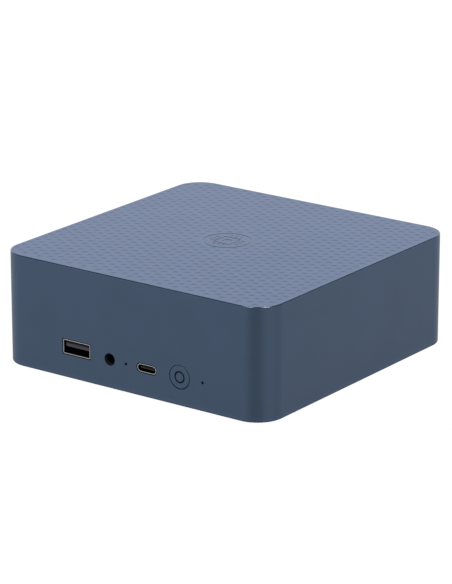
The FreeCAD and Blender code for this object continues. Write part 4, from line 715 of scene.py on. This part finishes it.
def copied_mesh(name, mesh, polygons, finish):
    """A mesh of some of another's polygons, with the same corner normals."""
    corner_normals = [tuple(n.vector) for n in mesh.corner_normals]
    used = sorted({i for polygon in polygons for i in polygon.vertices})
    at = {old: new for new, old in enumerate(used)}
    copy = bpy.data.meshes.new(name)
    copy.from_pydata([tuple(mesh.vertices[i].co) for i in used], [],
                     [tuple(at[i] for i in polygon.vertices) for polygon in polygons])
    copy.polygons.foreach_set("use_smooth", [True] * len(polygons))
    copy.normals_split_custom_set([corner_normals[i] for polygon in polygons for i in polygon.loop_indices])
    copy.materials.append(FINISHES[finish])
    return copy


def split_node(name, finish_for):
    """Replaces a CAD node by one piece for each finish that finish_for(size, middle) gives its parts."""
    mesh = nodes[name].data
    by_finish = {}
    for part in touching_parts(mesh):
        spots = [mesh.vertices[i].co / MM for polygon in part for i in polygon.vertices]
        low = Vector([min(p[k] for p in spots) for k in range(3)])
        high = Vector([max(p[k] for p in spots) for k in range(3)])
        by_finish.setdefault(finish_for(high - low, (high + low) / 2), []).extend(part)
    for finish, polygons in by_finish.items():
        label = f"{name}.{finish}"
        new_piece(label, copied_mesh(label, mesh, polygons, finish), name)


def wire_color(size, middle):
    """Mains pair, then two supply and two return wires, then the fan's three."""
    if middle.y > 30:
        return "wire_blue" if middle.x < 39 else "wire_brown"
    if middle.x > 0:
        return "wire" if middle.y < -38 else "wire_black"
    return {-15: "wire_black", -14: "wire", -13: "wire_yellow"}[round(middle.y)]


def lamp_color(size, middle):
    """Front status guide, then a green and an amber lamp in each network socket."""
    if middle.y < 0:
        return "light_guide"
    return "lamp_green" if middle.x < -28 or -15 < middle.x < -10 else "lamp_amber"


def insert_color(size, middle):
    """Pale tongues in the USB-A sockets, black plastic in the others."""
    return "insert_plastic" if 12 < size.x < 13 else "insert_black"


def radio_color(size, middle):
    """Long board, then two narrow aerial sockets and the can over the chips."""
    if size.y > 25:
        return "board_black"
    return "brass" if size.x < 3 else "alu"


split_node("memory_module", lambda size, middle: "board" if size.y > 60 else "chip")
split_node("drive", lambda size, middle: "board_black" if size.y > 60 else "chip")
split_node("radio_card", radio_color)
split_node("processor", lambda size, middle: "carrier" if size.x > 30 else "die")
split_node("clock_battery", lambda size, middle: "socket_black" if size.x > 21 else "battery")
split_node("psu_capacitors", lambda size, middle: "film" if size.y < 7 else "can")
split_node("psu_magnetics", lambda size, middle: "winding" if size.y < 7 else "ferrite")
split_node("board_chips", lambda size, middle: "choke" if size.z > 3 else "chip")
split_node("aerials", lambda size, middle: "foil" if size.z < 0.5 else "wire_black")
split_node("internal_wires", wire_color)
split_node("light_guides", lamp_color)
split_node("socket_inserts", insert_color)


# ---------------------------------------------------------------- woven dust screen

THREAD_PITCH = 1.1
THREAD_R = 0.05
THREAD_SIDES = 5
SCREEN_RIM = 2.0                             # width of the welded border
SCREEN_CORNER = 3.0
WEAVE_LIFT = 0.12                            # from the screen's underside to the middle of the weave
WELD_OVERLAP = 0.5                           # how far each thread runs into the border


def add_thread(points, faces, path):
    """A tube along a path, closed at both ends."""
    first = len(points)
    ahead = (path[-1] - path[0]).normalized()
    side = ahead.cross(Vector((0, 0, 1)))
    for place in path:
        for k in range(THREAD_SIDES):
            turn = 2 * math.pi * k / THREAD_SIDES
            offset = side * math.cos(turn) + Vector((0, 0, 1)) * math.sin(turn)
            points.append(tuple((place + offset * THREAD_R) * MM))
    for step in range(len(path) - 1):
        for k in range(THREAD_SIDES):
            a, b = first + step * THREAD_SIDES + k, first + step * THREAD_SIDES + (k + 1) % THREAD_SIDES
            faces.append((a, b, b + THREAD_SIDES, a + THREAD_SIDES))
    last = first + (len(path) - 1) * THREAD_SIDES
    faces.append(tuple(first + k for k in reversed(range(THREAD_SIDES))))
    faces.append(tuple(last + k for k in range(THREAD_SIDES)))


def woven_screen():
    """Threads that pass over and under one another, held in a welded border with rounded corners."""
    low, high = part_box("dust_filter")
    low, high = low / MM, high / MM
    half_x, half_y = (high.x - low.x) / 2 - SCREEN_RIM, (high.y - low.y) / 2 - SCREEN_RIM
    middle = (low + high) / 2
    across, along = int(half_x / THREAD_PITCH), int(half_y / THREAD_PITCH)
    points, faces = [], []

    def spot(x, y, over):
        return Vector((middle.x + x, middle.y + y, low.z + WEAVE_LIFT + over * THREAD_R))

    columns, rows = range(-across, across + 1), range(-along, along + 1)
    end_x, end_y = half_x + WELD_OVERLAP, half_y + WELD_OVERLAP
    for i in columns:
        x = i * THREAD_PITCH
        inner = [spot(x, j * THREAD_PITCH, (-1) ** (i + j)) for j in rows]
        add_thread(points, faces, [spot(x, -end_y, 0)] + inner + [spot(x, end_y, 0)])
    for j in rows:
        y = j * THREAD_PITCH
        inner = [spot(i * THREAD_PITCH, y, -(-1) ** (i + j)) for i in columns]
        add_thread(points, faces, [spot(-end_x, y, 0)] + inner + [spot(end_x, y, 0)])

    outer = Outline(middle.x, middle.y, half_x + SCREEN_RIM, half_y + SCREEN_RIM, SCREEN_CORNER)
    rims = [(rounded_loop(outer), low.z), (rounded_loop(outer, -0.05), high.z),
            (rounded_loop(outer, -SCREEN_RIM), high.z - 0.02), (rounded_loop(outer, -SCREEN_RIM), low.z)]
    count, first = len(rims[0][0]), len(points)
    for loop, z in rims:
        points.extend((x * MM, y * MM, z * MM) for x, y in loop)
    for k in range(len(rims)):
        here, there = first + k * count, first + (k + 1) % len(rims) * count
        for i in range(count):
            n = (i + 1) % count
            faces.append((here + i, here + n, there + n, there + i))
    mesh = bpy.data.meshes.new("dust_screen_woven")
    mesh.from_pydata(points, [], faces)
    mesh.materials.append(FINISHES["mesh"])
    new_piece("dust_screen_woven", mesh, "dust_filter")


woven_screen()


# ---------------------------------------------------------------- studio

CAMERA_AZIMUTH = 36.2293                     # degrees, as are all directions below
CAMERA_ELEVATION = 17.8585
CAMERA_DISTANCE = 1.2047                     # metres, as are the other lengths of this section
CAMERA_LENS = 189.6                          # millimetres
CAMERA_TARGET = Vector((0, 0, 0.02395))
CAMERA_SHIFT = (-0.000466, 0.001285)

AMBIENT = 0.15
WALL_LIGHT = 0.67                            # a pale band all round, near the horizon
WALL_TOP, WALL_FULL = 0.50, 0.20             # heights where the band begins, and where it is at its full
PANEL_TINT = (1.14, 0.97, 0.92)
WALL_PANELS = ((29.0, 37.0, -0.53), (-20.0, 16.0, 0.13), (119.0, 26.0, -0.20), (144.0, 40.0, -0.07))
SCREEN_LIGHT = 0.59                          # a broad screen behind the object, which the roof mirrors
SCREEN_TINT = (0.77, 0.905, 1.26)
SCREEN_TOP, SCREEN_FULL = 0.60, 0.40
SCREEN_FOOT, SCREEN_FOOT_FULL = -0.02, 0.10
SCREEN_AZIMUTH = 216.0
SCREEN_SPREAD = 70.0
SOFTBOXES = ((-22.0, 66.0, 20.0), (92.0, 65.0, 28.0))
BOX_INNER, BOX_OUTER = 6.0, 12.0
BOX_TINT = (1.48, 1.0, 0.78)

FLOOR_REACH = 30.0
FLOOR_DROP = 0.00002                         # keeps the floor clear of the feet's soles
FLOOR_GLOW = 0.86
FLOOR_GLOW_LIGHT = 1.16
FLOOR_WHITE = 0.18
GAP_REACH = 0.004                            # from the underside to the floor, and a little aslant
GAP_LIGHT = 1.2


class Sky:
    """The light that surrounds the object, summed from soft-edged patches of sky."""

    def __init__(self):
        self.world = bpy.data.worlds.new("studio")
        bpy.context.scene.world = self.world
        self.world.use_nodes = True
        self.tree = self.world.node_tree
        self.tree.nodes.clear()
        self.direction = self.add("ShaderNodeTexCoord").outputs["Generated"]
        split = self.add("ShaderNodeSeparateXYZ")
        self.tree.links.new(self.direction, split.inputs[0])
        self.height = split.outputs[2]
        level = self.vector("MULTIPLY", self.direction, (1, 1, 0))
        self.compass = self.vector("NORMALIZE", level, (0, 0, 0))
        self.total = None

    def add(self, kind, **settings):
        node = self.tree.nodes.new(kind)
        for key, value in settings.items():
            setattr(node, key, value)
        return node

    def vector(self, operation, a, b):
        node = self.add("ShaderNodeVectorMath", operation=operation)
        self.tree.links.new(a, node.inputs[0])
        node.inputs[1].default_value = b
        return node.outputs["Value" if operation == "DOT_PRODUCT" else 0]

    def math(self, operation, a, b):
        node = self.add("ShaderNodeMath", operation=operation)
        for socket, value in zip(node.inputs, (a, b)):
            if isinstance(value, float):
                socket.default_value = value
            else:
                self.tree.links.new(value, socket)
        return node.outputs[0]

    def ramp(self, value, low, high):
        """0 at low, 1 at high, with soft ends."""
        node = self.add("ShaderNodeMapRange", interpolation_type="SMOOTHSTEP")
        self.tree.links.new(value, node.inputs["Value"])
        node.inputs["From Min"].default_value = low
        node.inputs["From Max"].default_value = high
        return node.outputs["Result"]

    def shine(self, amount, strength, tint=(1, 1, 1)):
        """Adds light of a strength and tint, weighted by a node's output."""
        scaled = self.add("ShaderNodeVectorMath", operation="SCALE")
        scaled.inputs[0].default_value = tuple(t * strength for t in tint)
        self.tree.links.new(amount, scaled.inputs["Scale"])
        if self.total is None:
            self.total = scaled.outputs[0]
        else:
            both = self.add("ShaderNodeVectorMath", operation="ADD")
            self.tree.links.new(self.total, both.inputs[0])
            self.tree.links.new(scaled.outputs[0], both.inputs[1])
            self.total = both.outputs[0]

    def beside(self, azimuth, half_angle):
        """1 towards one compass direction, 0 beyond half_angle from it."""
        turn = math.radians(azimuth)
        near = self.vector("DOT_PRODUCT", self.compass, (math.sin(turn), -math.cos(turn), 0))
        return self.ramp(near, math.cos(math.radians(half_angle)), 1.0)

    def towards(self, azimuth, elevation, inner, outer):
        """1 within `inner` degrees of a direction, 0 beyond `outer` degrees."""
        turn, lift = math.radians(azimuth), math.radians(elevation)
        aim = (math.sin(turn) * math.cos(lift), -math.cos(turn) * math.cos(lift), math.sin(lift))
        near = self.vector("DOT_PRODUCT", self.direction, aim)
        return self.ramp(near, math.cos(math.radians(outer)), math.cos(math.radians(inner)))

    def finish(self):
        """Light as summed above, but plain white where the camera looks straight at it."""
        bright = self.add("ShaderNodeVectorMath", operation="MAXIMUM")
        self.tree.links.new(self.total, bright.inputs[0])
        lit, seen = self.add("ShaderNodeBackground"), self.add("ShaderNodeBackground")
        self.tree.links.new(bright.outputs[0], lit.inputs["Color"])
        seen.inputs["Color"].default_value = (1, 1, 1, 1)
        pick = self.add("ShaderNodeMixShader")
        self.tree.links.new(self.add("ShaderNodeLightPath").outputs["Is Camera Ray"], pick.inputs["Fac"])
        self.tree.links.new(lit.outputs[0], pick.inputs[1])
        self.tree.links.new(seen.outputs[0], pick.inputs[2])
        self.tree.links.new(pick.outputs[0], self.add("ShaderNodeOutputWorld").inputs["Surface"])


def studio_world():
    """Even light, a band with darker and brighter panels, a screen behind and two softboxes above."""
    sky = Sky()
    everywhere = sky.add("ShaderNodeValue").outputs[0]
    everywhere.default_value = 1.0
    sky.shine(everywhere, AMBIENT)
    off_level = sky.math("ABSOLUTE", sky.height, 0.0)
    wall = sky.ramp(off_level, WALL_TOP, WALL_FULL)
    sky.shine(wall, WALL_LIGHT)
    for azimuth, half_angle, strength in WALL_PANELS:
        sky.shine(sky.math("MULTIPLY", wall, sky.beside(azimuth, half_angle)), strength, PANEL_TINT)
    above_foot = sky.ramp(sky.height, SCREEN_FOOT, SCREEN_FOOT_FULL)
    screen = sky.math("MULTIPLY", above_foot, sky.ramp(sky.height, SCREEN_TOP, SCREEN_FULL))
    screen = sky.math("MULTIPLY", screen, sky.beside(SCREEN_AZIMUTH, SCREEN_SPREAD))
    sky.shine(screen, SCREEN_LIGHT, SCREEN_TINT)
    for azimuth, elevation, strength in SOFTBOXES:
        sky.shine(sky.towards(azimuth, elevation, BOX_INNER, BOX_OUTER), strength, BOX_TINT)
    sky.finish()


def studio_floor():
    """A pale floor that burns out to white, keeping only a trace of contact shadow.

    It is clear to mirrored light and from below, and it glows into the narrow gap under the object.
    """
    mesh = bpy.data.meshes.new("floor")
    corners = ((-1, -1), (1, -1), (1, 1), (-1, 1))
    places = [(x * FLOOR_REACH, y * FLOOR_REACH, -FLOOR_DROP) for x, y in corners]
    mesh.from_pydata(places, [], [(0, 1, 2, 3)])
    floor = bpy.data.objects.new("floor", mesh)
    bpy.context.scene.collection.objects.link(floor)
    material = bpy.data.materials.new("floor_pale")
    material.use_nodes = True
    material.cycles.emission_sampling = "NONE"
    tree = material.node_tree
    tree.nodes.clear()
    path = tree.nodes.new("ShaderNodeLightPath").outputs

    def math_node(operation, a, b):
        node = tree.nodes.new("ShaderNodeMath")
        node.operation = operation
        for socket, value in zip(node.inputs, (a, b)):
            if isinstance(value, float):
                socket.default_value = value
            else:
                tree.links.new(value, socket)
        return node.outputs[0]

    def glow(strength):
        node = tree.nodes.new("ShaderNodeEmission")
        node.inputs["Strength"].default_value = strength
        return node.outputs[0]

    def mixed(share, a, b):
        node = tree.nodes.new("ShaderNodeMixShader")
        for socket, source in zip(node.inputs, (share, a, b)):
            tree.links.new(source, socket)
        return node.outputs[0]

    diffuse = tree.nodes.new("ShaderNodeBsdfDiffuse")
    diffuse.inputs["Color"].default_value = (FLOOR_WHITE, FLOOR_WHITE, FLOOR_WHITE, 1)
    seen_share = math_node("MULTIPLY", path["Is Camera Ray"], FLOOR_GLOW)
    seen = mixed(seen_share, diffuse.outputs[0], glow(FLOOR_GLOW_LIGHT))
    is_near = math_node("LESS_THAN", path["Ray Length"], GAP_REACH)
    in_gap = math_node("MULTIPLY", path["Is Diffuse Ray"], is_near)
    lit = mixed(in_gap, seen, glow(GAP_LIGHT))
    from_below = tree.nodes.new("ShaderNodeNewGeometry").outputs["Backfacing"]
    clear = mixed(math_node("MAXIMUM", path["Is Glossy Ray"], from_below), lit,
                  tree.nodes.new("ShaderNodeBsdfTransparent").outputs[0])
    tree.links.new(clear, tree.nodes.new("ShaderNodeOutputMaterial").inputs["Surface"])
    mesh.materials.append(material)


def camera():
    """A long lens, aimed at the middle of the housing and shifted to the photo's framing."""
    turn, lift = math.radians(CAMERA_AZIMUTH), math.radians(CAMERA_ELEVATION)
    back = Vector((math.sin(turn) * math.cos(lift), -math.cos(turn) * math.cos(lift), math.sin(lift)))
    right = Vector((math.cos(turn), math.sin(turn), 0))
    up = back.cross(right)
    target = CAMERA_TARGET + right * CAMERA_SHIFT[0] + up * CAMERA_SHIFT[1]
    data = bpy.data.cameras.new("camera")
    data.lens = CAMERA_LENS
    data.sensor_width = 36.0
    data.clip_start = 0.01
    data.clip_end = 100.0
    eye = bpy.data.objects.new("camera", data)
    bpy.context.scene.collection.objects.link(eye)
    eye.location = target + back * CAMERA_DISTANCE
    eye.rotation_euler = (-back).to_track_quat("-Z", "Y").to_euler()
    bpy.context.scene.camera = eye


studio_world()
studio_floor()
camera()
bpy.context.scene.view_settings.view_transform = "Standard"
bpy.context.scene.view_settings.look = "None"
